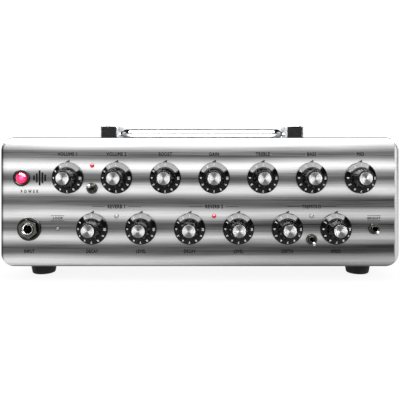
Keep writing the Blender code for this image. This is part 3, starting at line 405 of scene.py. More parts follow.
def turned(bm, profile, steps=48, place=Matrix(), material=0):
    """Turns (radius, height) points round Z. A profile that starts and ends on the axis makes a solid.
    Any other is closed on itself and makes a ring."""
    rows = []
    for radius, height in profile:
        if radius == 0:
            rows.append([bm.verts.new(place @ Vector((0, 0, height)))])
        else:
            rows.append([bm.verts.new(place @ Vector((p.x, p.y, height))) for p in circle(radius, steps)])
    pairs = list(zip(rows, rows[1:]))
    if profile[0][0] > 0:
        pairs.append((rows[-1], rows[0]))
    for near, far in pairs:
        for i in range(steps):
            j = (i + 1) % steps
            corners = [near[i % len(near)], near[j % len(near)], far[j % len(far)], far[i % len(far)]]
            bm.faces.new(list(dict.fromkeys(corners))).material_index = material


def extruded(bm, outline, low, high, place=Matrix(), bevel=0.0, material=0):
    """Extrudes an outline from low to high along Z, its far edge eased by a small bevel."""
    rings = [[place @ Vector((p.x, p.y, low)) for p in outline]]
    if bevel:
        middle = sum(outline, Vector((0, 0))) / len(outline)
        for i in range(5):
            angle = math.radians(90) * i / 4
            pull = bevel * (1 - math.cos(angle))
            at = high - bevel * (1 - math.sin(angle))
            ring = [p - (p - middle).normalized() * pull for p in outline]
            rings.append([place @ Vector((p.x, p.y, at)) for p in ring])
    else:
        rings.append([place @ Vector((p.x, p.y, high)) for p in outline])
    loft(bm, rings, material)


def mesh_of(name, build, sharp=30):
    bm = bmesh.new()
    build(bm)
    bmesh.ops.recalc_face_normals(bm, faces=bm.faces)
    mesh = bpy.data.meshes.new(name)
    bm.to_mesh(mesh)
    bm.free()
    mesh.shade_smooth()
    mesh.set_sharp_from_angle(angle=math.radians(sharp))
    return mesh


def piece(name, mesh, materials, body, location=(0, 0, 0), replaces=()):
    """Puts a mesh in the scene as a finished piece that rides on a CAD body."""
    if not mesh.materials:
        for material in materials:
            mesh.materials.append(material)
    obj = bpy.data.objects.new(name, mesh)
    obj.location = location
    bpy.context.scene.collection.objects.link(obj)
    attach(obj, body)
    if replaces:
        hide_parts(*replaces)
    return obj


def carved(mesh, operation, build, sharp=30):
    """The mesh with another one cut away from it, or joined to it."""
    obj = bpy.data.objects.new("carving", mesh)
    tool = bpy.data.objects.new("tool", mesh_of("tool", build))
    for each in (obj, tool):
        bpy.context.scene.collection.objects.link(each)
    modifier = obj.modifiers.new("cut", "BOOLEAN")
    modifier.operation = operation
    modifier.solver = "EXACT"
    modifier.use_self = True
    modifier.object = tool
    bpy.context.view_layer.update()
    made = bpy.data.meshes.new_from_object(obj.evaluated_get(bpy.context.evaluated_depsgraph_get()))
    bpy.data.objects.remove(obj)
    bpy.data.objects.remove(tool)
    made.shade_smooth()
    made.set_sharp_from_angle(angle=math.radians(sharp))
    return made


INK_THICK = 0.05 * MM
INK_LIFT = 0.02 * MM


def lettering(bm, text, height, place, narrow=0.8, spacing=1.12, weight=0.035, material=0):
    """Adds text as thin raised ink, centred, its capitals this high. X runs along the line and Y up it."""
    curve = bpy.data.curves.new("lettering", "FONT")
    curve.body = text
    curve.align_x = "CENTER"
    curve.space_character = spacing
    curve.bevel_depth = weight
    curve.bevel_resolution = 0
    curve.resolution_u = 3
    obj = bpy.data.objects.new("lettering", curve)
    bpy.context.scene.collection.objects.link(obj)
    bpy.context.view_layer.update()
    mesh = bpy.data.meshes.new_from_object(obj.evaluated_get(bpy.context.evaluated_depsgraph_get()))
    bpy.data.objects.remove(obj)
    low = min(v.co.y for v in mesh.vertices)
    high = max(v.co.y for v in mesh.vertices)
    scale = height / (high - low)
    flat = INK_THICK / (2 * weight)
    centred = Matrix.Translation((0, -(low + high) / 2, weight))
    size = Matrix.Diagonal((scale * narrow, scale, flat, 1)) @ centred
    mesh.transform(place @ size)
    faces_before = len(bm.faces)
    bm.from_mesh(mesh)
    bm.faces.ensure_lookup_table()
    for face in bm.faces[faces_before:]:
        face.material_index = material


def on_face(x, z):
    """Places a flat mark's XY plane on the face plate, read from the front."""
    return Matrix.Translation((x, FRONT_Y - INK_LIFT, z)) @ AROUND_Y


def on_rear(x, z):
    turn = Matrix.Rotation(math.pi, 4, "Z")
    return Matrix.Translation((x, REAR_Y + INK_LIFT, z)) @ turn @ AROUND_Y


def bar(bm, place, x0, x1, y0, y1, material=0):
    """A thin printed rectangle in a mark's own plane."""
    outline = [Vector(p) for p in ((x0, y0), (x1, y0), (x1, y1), (x0, y1))]
    extruded(bm, outline, 0, INK_THICK, place, material=material)


# ---- face plate and its print ----------------------------------------------------------------
def face_plate():
    size = FACE_HIGH - FACE_LOW
    edge = 3 * MM
    rings = []
    for i in range(9):
        angle = math.radians(90) * i / 8
        pull, depth = edge * (1 - math.cos(angle)), edge * (1 - math.sin(angle))
        outline = rounded_rectangle(size.x - 2 * pull, size.z - 2 * pull, CORNER_RADIUS - pull)
        rings.append([Vector((p.x, FRONT_Y + depth, p.y + (FACE_LOW.z + FACE_HIGH.z) / 2)) for p in outline])
    back = [Vector((p.x, FACE_HIGH.y, p.z)) for p in rings[0]]
    mesh = mesh_of("face_plate", lambda bm: loft(bm, [back, *rings]))

    def holes(bm):
        radii = {"knob_": 4.2, "input_jack": 5, "pilot_lens": 5.6}
        for node, low, high in ((n, *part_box(n)) for n in frame["nodes"]):
            if node.endswith("_toggle_nut"):
                radius = 3.3
            elif node.endswith("_lamp"):
                radius = 1.8
            else:
                radius = next((r for key, r in radii.items() if node.startswith(key)), None)
            if radius is None or node.startswith("input_jack_"):
                continue
            middle = (low + high) / 2
            place = Matrix.Translation((middle.x, FRONT_Y, middle.z)) @ AROUND_Y
            turned(bm, section(0, radius * MM, -9 * MM, 4 * MM), 32, place)

    mesh = carved(mesh, "DIFFERENCE", holes)
    piece("face_plate", mesh, [FACE], CASE, replaces=["front_panel"])


LABEL_HEIGHT = 3.1 * MM
LINE_THICK = 0.35 * MM
UPPER_LABELS = {
    "knob_rhythm_volume": "VOLUME 1",
    "knob_lead_volume": "VOLUME 2",
    "knob_boost": "BOOST",
    "knob_gain": "GAIN",
    "knob_treble": "TREBLE",
    "knob_bass": "BASS",
    "knob_middle": "MID",
}
LOWER_LABELS = {
    "knob_reverb_1_decay": "DECAY",
    "knob_reverb_1_level": "LEVEL",
    "knob_reverb_2_decay": "DECAY",
    "knob_reverb_2_level": "LEVEL",
    "knob_depth": "DEPTH",
    "knob_speed": "SPEED",
}
LINKED = (("knob_lead_volume", "knob_boost"), ("knob_treble", "knob_bass"), ("knob_bass", "knob_middle"))
GROUPS = (
    ("REVERB 1", "knob_reverb_1_decay", "knob_reverb_1_level"),
    ("REVERB 2", "knob_reverb_2_decay", "knob_reverb_2_level"),
    ("TREMOLO", "knob_depth", "knob_speed"),
)
LETTER_PITCH = 1.95 * MM  # about what one letter of a label takes


def half_width(text):
    return len(text) * LETTER_PITCH / 2


def wedge(bm, x, z):
    """The small ramp over each knob: it rises to the right."""
    outline = [Vector(p) for p in ((-1.9 * MM, -0.9 * MM), (1.5 * MM, -0.9 * MM), (1.5 * MM, 0.9 * MM))]
    extruded(bm, outline, 0, INK_THICK, on_face(x, z))


def face_print():
    label_z = UPPER_ROW_Z + 19.6 * MM
    group_z = LOWER_ROW_Z + 18.3 * MM
    base_z = LOWER_ROW_Z - 18.6 * MM

    def marks(bm):
        for knob, text in UPPER_LABELS.items():
            lettering(bm, text, LABEL_HEIGHT, on_face(centre(knob).x, label_z))
            wedge(bm, centre(knob).x, UPPER_ROW_Z + 14 * MM)
        for knob, text in LOWER_LABELS.items():
            lettering(bm, text, LABEL_HEIGHT, on_face(centre(knob).x, base_z), 0.7)
            wedge(bm, centre(knob).x, LOWER_ROW_Z + 14 * MM)
        for left, right in LINKED:
            start = centre(left).x + half_width(UPPER_LABELS[left]) + 1.5 * MM
            end = centre(right).x - half_width(UPPER_LABELS[right]) - 1.5 * MM
            bar(bm, on_face(0, label_z), start, end, -LINE_THICK / 2, LINE_THICK / 2)
        for text, left, right in GROUPS:
            middle = (centre(left).x + centre(right).x) / 2
            lettering(bm, text, LABEL_HEIGHT, on_face(middle, group_z))
            for side in (-1, 1):
                inner, outer = half_width(text) + 1.8 * MM, abs(centre(left).x - middle)
                ends = sorted((middle + side * inner, middle + side * outer))
                bar(bm, on_face(0, group_z), *ends, -LINE_THICK / 2, LINE_THICK / 2)
        lettering(bm, "INPUT", LABEL_HEIGHT, on_face(centre("input_jack").x, base_z), 0.7)
        for text, node in (("LOOP", "loop_lamp"), ("BRIGHT", "bright_toggle_nut")):
            x, z = centre(node).x, LOWER_ROW_Z + 8.7 * MM
            lettering(bm, text, 2.1 * MM, on_face(x, z), 1.05)
            for dz in (-2.1 * MM, 2.1 * MM):
                bar(bm, on_face(x, z + dz), -5.4 * MM, 5.4 * MM, -LINE_THICK / 2, LINE_THICK / 2)
        pilot_marks(bm)

    piece("face_print", mesh_of("face_print", marks), [BLACK_INK], CASE)


def pilot_marks(bm):
    """A row of level bars beside the pilot lamp, with a caption under both."""
    pilot = centre("pilot_bezel")
    heights = (4, 7.5, 12.5, 9, 5.5)
    for i, height in enumerate(heights):
        x = pilot.x + 10.2 * MM + i * 2.3 * MM
        bar(bm, on_face(x, pilot.z), -0.75 * MM, 0.75 * MM, -height / 2 * MM, height / 2 * MM)
    lettering(bm, "POWER", 2.7 * MM, on_face(pilot.x + 6.5 * MM, pilot.z - 11.2 * MM), 0.72, 2.1)


# ---- knobs -----------------------------------------------------------------------------------
SKIRT_RADIUS = 12.9 * MM
SKIRT_SLOPE = (12.3 * MM, 1.7 * MM), (9.4 * MM, 3.6 * MM)  # outer and inner edges of the numbered cone
FLUTES = 24
SHAFT_RADIUS = 3 * MM
RECESS = (7 * MM, 3.5 * MM)  # radius and depth of the hollow over the potentiometer's nut


def knob_mesh():
    """Skirted knob about the Y axis: numbered cone, fluted grip and spun metal cap, standing out to -Y."""
    (outer, outer_h), (inner, inner_h) = SKIRT_SLOPE
    shaft_end = FRONT_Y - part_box(KNOBS[0])[1].y
    skirt = [
        (0, shaft_end),
        (SHAFT_RADIUS, shaft_end),
        (SHAFT_RADIUS, RECESS[1]),
        RECESS,
        (RECESS[0], 0.6 * MM),
        (SKIRT_RADIUS - 0.4 * MM, 0.6 * MM),
        (SKIRT_RADIUS, 0.9 * MM),
        (SKIRT_RADIUS, 1.2 * MM),
        (SKIRT_RADIUS - 0.15 * MM, 1.45 * MM),
        (outer, outer_h),
        (inner, inner_h),
        (inner - 0.25 * MM, inner_h + 0.15 * MM),
        (8.6 * MM, inner_h + 0.35 * MM),
        (0, inner_h + 0.35 * MM),
    ]
    foot, top = inner_h, KNOB_HEIGHT
    low_radius, high_radius = 8.6 * MM, 6.5 * MM
    levels = (0, 0.12, 0.2, 0.5, 0.8, 0.92, 0.97, 1)
    fades = (0, 0.2, 0.8, 1, 1, 0.9, 0.5, 0)

    def grip(bm):
        rings = []
        for share, fade in zip(levels, fades):
            radius = low_radius + (high_radius - low_radius) * share
            height = foot + (top - 0.3 * MM - foot) * share
            ring = []
            for i in range(FLUTES * 6):
                angle = 2 * math.pi * i / (FLUTES * 6)
                cut = 0.18 * MM * fade * (0.5 - 0.5 * math.cos(FLUTES * angle))
                flat = (radius - cut) * Vector((math.cos(angle), math.sin(angle)))
                ring.append(AROUND_Y @ Vector((*flat, height)))
            rings.append(ring)
        for radius, height in ((6.3 * MM, top), (5.45 * MM, top), (5.35 * MM, top - 0.25 * MM)):
            ring = [AROUND_Y @ Vector((p.x, p.y, height)) for p in circle(radius, FLUTES * 6)]
            rings.append(ring)
        loft(bm, rings)

    def cap(bm):
        profile = [
            (0, top - 0.4 * MM),
            (5.25 * MM, top - 0.4 * MM),
            (5.25 * MM, top - 0.12 * MM),
            (5.15 * MM, top - 0.04 * MM),
            (0, top - 0.02 * MM),
        ]
        turned(bm, profile, 64, AROUND_Y, 1)

    def numbers(bm):
        slope = math.atan2(inner_h - outer_h, outer - inner)
        radius = (outer + inner) / 2
        height = (outer_h + inner_h) / 2
        lean = Matrix.Rotation(-slope, 4, "X")
        for i in range(10):
            spin = Matrix.Rotation(math.radians(30) * i, 4, "Z")
            seat = Matrix.Translation((0, radius, height)) @ lean @ Matrix.Translation((0, 0, INK_LIFT))
            lettering(bm, str(i + 1), 2.2 * MM, AROUND_Y @ spin @ seat, 0.95, 0.95, 0.03, 2)

    def build(bm):
        turned(bm, skirt, 96, AROUND_Y)
        grip(bm)
        cap(bm)
        numbers(bm)

    return mesh_of("skirted_knob", build)


def knobs():
    mesh = knob_mesh()
    for name in KNOBS:
        middle = centre(name)
        finish = [KNOB_BLACK, SPUN, WHITE_INK]
        piece(f"{name}_detailed", mesh, finish, name, (middle.x, FRONT_Y, middle.z), [name])


# ---- lamps -----------------------------------------------------------------------------------
def lamps():
    radius, rise, flange = 1.5 * MM, 1.1 * MM, 1.9 * MM
    angles = (math.radians(15 * i) for i in range(6))
    dome = [(radius * math.cos(a), rise * math.sin(a)) for a in angles]
    profile = [(0, -7 * MM), (flange, -7 * MM), (flange, -5.3 * MM), (radius, -5.3 * MM), *dome, (0, rise)]
    rim, body, glow_and_highlight = (0.2, 0.0, 0.01), (0.46, 0.008, 0.03), (0.52, 0.014, 0.035)
    red = glowing("red_lamp", rim, body, glow_and_highlight, (0, 0, 0), 2.2 * MM, 1.0, 0.1)
    for slot, material, nodes in (
        ("red_lamp", red, ["channel_lamp", "reverb_2_lamp"]),
        ("clear_lamp", CLEAR_LENS, ["reverb_1_lamp", "tremolo_lamp"]),
        ("clear_lamp", SMOKED_LENS, ["loop_lamp"]),
    ):
        mesh = mesh_of(slot, lambda bm: turned(bm, profile, 24, AROUND_Y))
        for node in nodes:
            middle = centre(node)
            piece(f"{node}_dome", mesh, [material], CASE, (middle.x, FRONT_Y, middle.z), [node])


def pilot_light():
    """A jewel cut in flat facets, in a black bezel."""
    middle = centre("pilot_lens")
    location = (middle.x, FRONT_Y, middle.z)
    tiers = [(4.1, -9.5), (4.1, 0.6), (4.7, 0.9), (4.15, 1.9), (2.7, 2.9), (1.2, 3.3)]

    def jewel(bm):
        rings = []
        for tier, (radius, height) in enumerate(tiers):
            turn = math.pi / 12 * (tier % 2)
            rings.append([AROUND_Y @ Vector((p.x, p.y, height * MM)) for p in circle(radius * MM, 12, turn)])
        loft(bm, rings)
        bmesh.ops.triangulate(bm, faces=bm.faces)

    # The magenta-white spot right of the jewel's centre is a painted highlight over the lamp's red glow.
    lit = glowing(
        "jewel_red",
        rim=(0.55, 0.0, 0.03),
        body=(0.95, 0.01, 0.09),
        glow_and_highlight=(1.0, 0.25, 0.75),
        spot=(0.9 * MM, 0, 0.3 * MM),
        reach=6.2 * MM,
        strength=1.0,
    )
    mesh = mesh_of("pilot_jewel", jewel, 5)
    piece("pilot_jewel", mesh, [lit], CASE, location, ["pilot_lens"])
    bezel = [(4.4, -8.3), (5.3, -8.3), (5.3, 0.3), (7.0, 0.3), (7.0, 0.8), (6.8, 1.2)]
    bezel += [(6.2, 1.5), (5.3, 1.5), (5.0, 1.3), (5.0, 0.5), (4.4, 0.2)]
    profile = [(r * MM, h * MM) for r, h in bezel]
    mesh = mesh_of("pilot_ring", lambda bm: turned(bm, profile, 64, AROUND_Y))
    piece("pilot_ring", mesh, [GLOSS_BLACK], CASE, location, ["pilot_bezel"])


# ---- toggle switches -------------------------------------------------------------------------
def hexagon_nut(bm, across_flats, bore, thick, place, turn=0.0, material=0):
    """A hexagonal nut with its corners turned off, from height 0 to thick."""
    corner = across_flats / math.sqrt(3)
    steps = 72
    outside = []
    for share, trim in ((0, 0.35), (0.12, 0.0), (0.88, 0.0), (1, 0.35)):
        ring = []
        for i in range(steps):
            angle = 2 * math.pi * i / steps
            flat = across_flats / 2 / math.cos((angle + math.pi / 6) % (math.pi / 3) - math.pi / 6)
            radius = min(flat, corner - trim * MM)
            ring.append((angle + turn, radius, share * thick))
        outside.append(ring)
    rows = []
    for radius, height in ((bore, thick - 0.3 * MM), (bore, 0)):
        rows.append([(2 * math.pi * i / steps + turn, radius, height) for i in range(steps)])
    inner_top = [(a, bore + 0.3 * MM, thick) for a, _, _ in outside[0]]
    rings = [*outside, inner_top, *rows]
    made = [[place @ Vector((r * math.cos(a), r * math.sin(a), h)) for a, r, h in ring] for ring in rings]
    verts = [[bm.verts.new(p) for p in ring] for ring in made]
    for near, far in zip(verts, verts[1:] + verts[:1]):
        for i in range(steps):
            j = (i + 1) % steps
            bm.faces.new((near[i], near[j], far[j], far[i])).material_index = material


def toggles():
    for nut in nodes_ending("_toggle_nut"):
        name = nut.removesuffix("_nut")
        middle = centre(nut)
        location = (middle.x, FRONT_Y, middle.z)
        proud = FRONT_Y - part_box(f"{name}_body")[0].y

        def ring(bm):
            turned(bm, section(3.3 * MM, 4.7 * MM, 0.1 * MM, 0.45 * MM), 48, AROUND_Y)
            place = AROUND_Y @ Matrix.Translation((0, 0, 0.45 * MM))
            hexagon_nut(bm, 8 * MM, 3.3 * MM, 1.8 * MM, place, math.radians(30))

        def bush(bm):
            threads = []
            steps = 14
            for i in range(steps):
                radius = 3.0 * MM - (0.18 * MM if i % 2 else 0)
                threads.append((radius, 0.2 * MM + (proud - 0.5 * MM) * i / (steps - 1)))
            profile = [(2.35 * MM, -3 * MM), (3.0 * MM, -3 * MM), *threads]
            profile += [(2.9 * MM, proud), (2.55 * MM, proud), (2.35 * MM, proud - 0.3 * MM)]
            turned(bm, profile, 40, AROUND_Y, 1)

        def floor(bm):
            turned(bm, section(0, 2.9 * MM, -3.2 * MM, -2.6 * MM), 24, AROUND_Y)

        mesh = mesh_of(f"{name}_ring", ring)
        piece(f"{name}_ring", mesh, [DARK_METAL], CASE, location, [nut])
        mesh = mesh_of(f"{name}_bush", lambda bm: (bush(bm), floor(bm)))
        piece(f"{name}_bush", mesh, [DARK_METAL, DARK_METAL], CASE, location)
        toggle_housing(name)
        toggle_lever(name)


def toggle_housing(name):
    """The switch's body behind the face, with its three solder tags."""
    low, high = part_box(f"{name}_body")
    middle = (low + high) / 2
    back = FACE_HIGH.y + 0.3 * MM

    def build(bm):
        place = Matrix.Translation((middle.x, back, middle.z)) @ OUT_REAR
        outline = rounded_rectangle(high.x - low.x, high.z - low.z, 0.5 * MM, 4)
        extruded(bm, outline, 0, high.y - back, place, 0.3 * MM)
        for dz in (-4.4 * MM, 0, 4.4 * MM):
            tag = Matrix.Translation((middle.x, high.y, middle.z + dz)) @ OUT_REAR
            extruded(bm, rounded_rectangle(1.2 * MM, 2 * MM, 0.3 * MM, 2), -0.2 * MM, 3 * MM, tag)

    mesh = mesh_of(f"{name}_housing", build)
    piece(f"{name}_housing", mesh, [STEEL], CASE, replaces=[f"{name}_body"])


def toggle_lever(name):
    """A bat-shaped lever on its ball, leaning as the joint's rest does."""
    node = f"{name}_lever"
    joint = joint_of(node)
    low_limit, high_limit = joint["range_deg"]
    lean = math.radians(low_limit + high_limit) / 2
    profile = [(0, -1.6), (1.2, -1.1), (1.48, 0), (1.2, 1.0), (0.95, 1.6), (1.0, 3.2), (1.2, 6), (1.5, 8.8)]
    profile += [(1.6, 10), (1.5, 10.9), (1.1, 11.45), (0.5, 11.6), (0, 11.6)]
    points = [(r * MM, h * MM) for r, h in profile]
    place = Matrix.Rotation(-lean, 4, "X") @ AROUND_Y
    mesh = mesh_of(node, lambda bm: turned(bm, points, 24, place), 40)
    piece(f"{node}_bat", mesh, [CHROME], node, joint["pos_m"], [node])


# ---- jacks -----------------------------------------------------------------------------------
NUT_FLATS, NUT_BORE = 14 * MM, 5 * MM
BUSH_DEPTH = 27 * MM  # how far a jack's blind bore goes in


def jack_bush(bm, proud, depth, place, material):
    """Threaded bush with a plain bore, and the blind lining behind it."""
    bore, outer = 3.3 * MM, 4.7 * MM
    steps = 12
    threads = []
    for i in range(steps):
        threads.append((outer - (0.2 * MM if i % 2 else 0), (proud - 0.6 * MM) * i / (steps - 1)))
    profile = [(bore, -2 * MM), (outer, -2 * MM), *threads, (outer - 0.3 * MM, proud)]
    profile += [(bore + 0.7 * MM, proud), (bore + 0.15 * MM, proud - 0.6 * MM), (bore, proud - 1 * MM)]
    turned(bm, profile, 48, place, material)
    start, end = -2 * MM, -depth - 1 * MM
    lining = [(0, end), (outer, end), (outer, start), (bore, start), (bore, -depth), (0, -depth)]
    turned(bm, lining, 32, place, 1)


def input_jack():
    middle = centre("input_jack_collar")
    location = (middle.x, FRONT_Y, middle.z)
    low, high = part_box("input_jack")
    proud = FRONT_Y - low.y
    thick = 1.6 * MM
    collar = [(5.0, 0.1), (9.9, 0.1), (9.9, 0.9), (9.6, 1.35), (9.1, 1.6), (8.3, 1.55)]
    collar += [(7.9, 1.25), (5.0, 1.25)]
    profile = [(r * MM, h * MM) for r, h in collar]
    mesh = mesh_of("jack_collar", lambda bm: turned(bm, profile, 80, AROUND_Y), 40)
    piece("jack_collar", mesh, [GLOSS_BLACK], CASE, location, ["input_jack_collar"])

    def nut(bm):
        place = AROUND_Y @ Matrix.Translation((0, 0, thick))
        hexagon_nut(bm, NUT_FLATS, NUT_BORE, 2.6 * MM, place, math.radians(8))

    piece("jack_nut", mesh_of("jack_nut", nut), [DARK_METAL], CASE, location, ["input_jack_nut"])

    def bush(bm):
        jack_bush(bm, proud, BUSH_DEPTH, AROUND_Y, 0)

    piece("jack_bush", mesh_of("jack_bush", bush), [NICKEL, MATT_BLACK], CASE, location)
    jack_housing("input_jack", low.x, high.x, FACE_HIGH.y + 0.3 * MM, high.y, middle.z, OUT_REAR)


def jack_housing(node, x0, x1, y0, y1, z, direction):
    width = x1 - x0

    def build(bm):
        start = y0 if direction is OUT_REAR else y1
        place = Matrix.Translation(((x0 + x1) / 2, start, z)) @ direction
        extruded(bm, rounded_rectangle(width, width, 1.2 * MM, 4), 0, y1 - y0, place, 0.6 * MM)

    solid = mesh_of(f"{node}_housing", build)
    mesh = carved(solid, "DIFFERENCE", lambda bm: housing_bore(bm, node, z, direction))
    piece(f"{node}_housing", mesh, [MATT_BLACK], CASE, replaces=[node])


def housing_bore(bm, node, z, direction):
    """Clears the bush's inner wall out of its housing."""
    low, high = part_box(node)
    mouth = low.y if direction is OUT_REAR else high.y
    place = Matrix.Translation(((low.x + high.x) / 2, mouth, z)) @ direction
    turned(bm, section(0, 4.75 * MM, -2 * MM, 33.2 * MM), 40, place)


def rear_jacks():
    for node in nodes_ending("_jack", "jack_1", "jack_2"):
        if node == "input_jack":
            continue
        low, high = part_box(node)
        middle = centre(node)
        location = (middle.x, REAR_Y, middle.z)
        proud = high.y - REAR_Y

        def build(bm):
            jack_bush(bm, proud, BUSH_DEPTH, OUT_REAR, 0)
            turned(bm, section(5 * MM, 8.2 * MM, 0.1 * MM, 0.7 * MM), 48, OUT_REAR)
            place = OUT_REAR @ Matrix.Translation((0, 0, 0.7 * MM))
            hexagon_nut(bm, NUT_FLATS, NUT_BORE, 2.4 * MM, place, 0.3)

        mesh = mesh_of(f"{node}_fitting", build)
        piece(f"{node}_fitting", mesh, [NICKEL, MATT_BLACK], CASE, location)
        jack_housing(node, low.x, high.x, low.y, REAR_LOW.y - 0.3 * MM, middle.z, AROUND_Y)


# ---- sleeve ----------------------------------------------------------------------------------
VENT_WIDTH, VENT_PITCH = 3 * MM, 8 * MM
VENT_LENGTH, SIDE_VENT_LENGTH = 52 * MM, 46 * MM
VENTS_OUT = 118 * MM  # middle of each group of six vents in the top and bottom, from the centre line
TOP_VENTS_BACK = 30 * MM  # how far behind the case's middle the top vents sit
SIDE_VENTS_BACK = 10 * MM
CASE_MIDDLE_Y = (FACE_LOW.y + SLEEVE_HIGH.y) / 2


def slot_outline(length, width, steps=10):
    return rounded_rectangle(width, length, width / 2 - 0.001 * MM, steps)


def case_sleeve():
    size = SLEEVE_HIGH - SLEEVE_LOW
    middle_z = (SLEEVE_LOW.z + SLEEVE_HIGH.z) / 2
    radius = CORNER_RADIUS - 1 * MM
    ease = 0.5 * MM

    def ring(shrink, y):
        outline = rounded_rectangle(size.x - 2 * shrink, size.z - 2 * shrink, radius - shrink)
        return [Vector((p.x, y, p.y + middle_z)) for p in outline]

    def tube(bm):
        front, back = SLEEVE_LOW.y, SLEEVE_HIGH.y
        rings = [ring(0, front), ring(0, back - ease), ring(ease * 0.3, back - ease * 0.3), ring(ease, back)]
        rings += [ring(SLEEVE_WALL - ease, back), ring(SLEEVE_WALL, back - ease), ring(SLEEVE_WALL, front)]
        loft(bm, [*rings, rings[0]], close_ends=False)
        bmesh.ops.remove_doubles(bm, verts=bm.verts, dist=0.0001 * MM)

    def vents(bm):
        for side in (1, -1):
            for i in range(6):
                x = side * (VENTS_OUT + (i - 2.5) * VENT_PITCH)
                top = Matrix.Translation((x, CASE_MIDDLE_Y + TOP_VENTS_BACK, SLEEVE_HIGH.z))
                bottom = Matrix.Translation((x, CASE_MIDDLE_Y, SLEEVE_LOW.z))
                extruded(bm, slot_outline(VENT_LENGTH, VENT_WIDTH), -5 * MM, 2 * MM, top)
                extruded(bm, slot_outline(VENT_LENGTH, VENT_WIDTH), -2 * MM, 5 * MM, bottom)
            for i in range(7):
                y = CASE_MIDDLE_Y + SIDE_VENTS_BACK + (i - 3) * VENT_PITCH
                place = Matrix.Translation((side * SLEEVE_HIGH.x, y, middle_z))
                turn = Matrix.Rotation(math.pi / 2, 4, "Y") @ Matrix.Rotation(math.pi / 2, 4, "Z")
                extruded(bm, slot_outline(SIDE_VENT_LENGTH, VENT_WIDTH), -5 * MM, 5 * MM, place @ turn)

    mesh = carved(mesh_of("sleeve", tube), "DIFFERENCE", vents)
    piece("satin_sleeve", mesh, [SLEEVE], CASE, replaces=["case_sleeve"])


# ---- feet and handle -------------------------------------------------------------------------
def feet():
    for node in nodes_starting("foot_"):
        low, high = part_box(node)
        middle = centre(node)
        height = high.z - low.z
        top, bottom = (high.x - low.x) / 2, (high.x - low.x) / 2 - 2 * MM
        round_edge = 1.6 * MM
        profile = [(3.2 * MM, 0), (bottom - round_edge, 0)]
        for i in range(7):
            angle = math.radians(-90 + 80 * i / 6)
            radius = bottom - round_edge + round_edge * math.cos(angle)
            profile.append((radius, round_edge + round_edge * math.sin(angle)))
        profile += [(top - 0.35 * MM, height - 1.1 * MM), (top, height - 0.8 * MM), (top, height - 0.2 * MM)]
        seat = height - 4 * MM
        profile += [(top - 0.2 * MM, height), (1.6 * MM, height), (1.6 * MM, seat), (3.2 * MM, seat)]
        mesh = mesh_of(f"{node}_rubber", lambda bm: turned(bm, profile, 56), 35)
        piece(f"{node}_rubber", mesh, [RUBBER], CASE, (middle.x, middle.y, low.z), [node])
        screw = mesh_of(f"{node}_screw", lambda bm: screw_head(bm, 2.9 * MM, 2 * MM, 0))
        location = (middle.x, middle.y, low.z + seat)
        under = bpy.data.objects.new(f"{node}_screw", screw)
        screw.materials.append(STEEL)
        bpy.context.scene.collection.objects.link(under)
        under.location = location
        under.rotation_euler = (math.pi, 0, 0)
        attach(under, CASE)


def screw_head(bm, radius, height, material=0):
    """A pan head with a hexagon socket, standing on the plane z=0."""
    dome = []
    for i in range(5):
        angle = math.radians(18 * i)
        dome.append((radius * (0.72 + 0.28 * math.cos(angle)), height * (0.35 + 0.65 * math.sin(angle))))
    key, floor = radius * 0.45, height * 0.35
    steps = 24
    rings = [[Vector((p.x, p.y, h)) for p in circle(r, steps)] for r, h in [(radius, 0.0), *dome]]
    socket = []
    for i in range(steps):
        angle = 2 * math.pi * i / steps
        reach = key / math.cos(angle % (math.pi / 3) - math.pi / 6)
        socket.append(Vector((reach * math.cos(angle), reach * math.sin(angle), height)))
    rings += [socket, [Vector((p.x, p.y, floor)) for p in socket]]
    loft(bm, rings, material)


def handle():
    for side in ("left", "right"):
        low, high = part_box(f"handle_block_{side}")
        cap_low, cap_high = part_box(f"handle_cap_{side}")
        outward = -1 if side == "left" else 1
        block(side, low, high, outward)
        block_cap(side, cap_low, cap_high)
    bail()


def block(side, low, high, outward):
    """A metal block, bulging a little at its outer end, bored for the bail's stub."""
    middle = (low + high) / 2
    half_x, half_y = (high.x - low.x) / 2, (high.y - low.y) / 2
    bulge = 2.5 * MM

    def outline():
        points = [Vector((-half_x + 0.6 * MM, -half_y)), Vector((half_x - bulge - 0.4 * MM, -half_y))]
        for i in range(13):
            share = -1 + 2 * i / 12
            x = half_x - bulge * share * share
            points.append(Vector((x, half_y * 0.985 * math.sin(share * math.pi / 2))))
        points += [Vector((half_x - bulge - 0.4 * MM, half_y)), Vector((-half_x + 0.6 * MM, half_y))]
        points += [Vector((-half_x, half_y - 0.6 * MM)), Vector((-half_x, -half_y + 0.6 * MM))]
        return points

    def solid(bm):
        turn = Matrix() if outward > 0 else Matrix.Rotation(math.pi, 4, "Z")
        place = Matrix.Translation((middle.x, middle.y, low.z)) @ turn
        extruded(bm, outline(), 0, high.z - low.z, place, 1.2 * MM)

    def bore(bm):
        pivot = joint_of("handle_bail")["pos_m"]
        place = Matrix.Translation((middle.x - outward * half_x, pivot[1], pivot[2]))
        turned(bm, section(0, 3.5 * MM, -14 * MM, 14 * MM), 40, place @ Matrix.Rotation(math.pi / 2, 4, "Y"))

    mesh = carved(mesh_of(f"handle_block_{side}", solid), "DIFFERENCE", bore)
    node = f"handle_block_{side}"
    piece(f"{node}_metal", mesh, [BLOCK_METAL], CASE, replaces=[node])


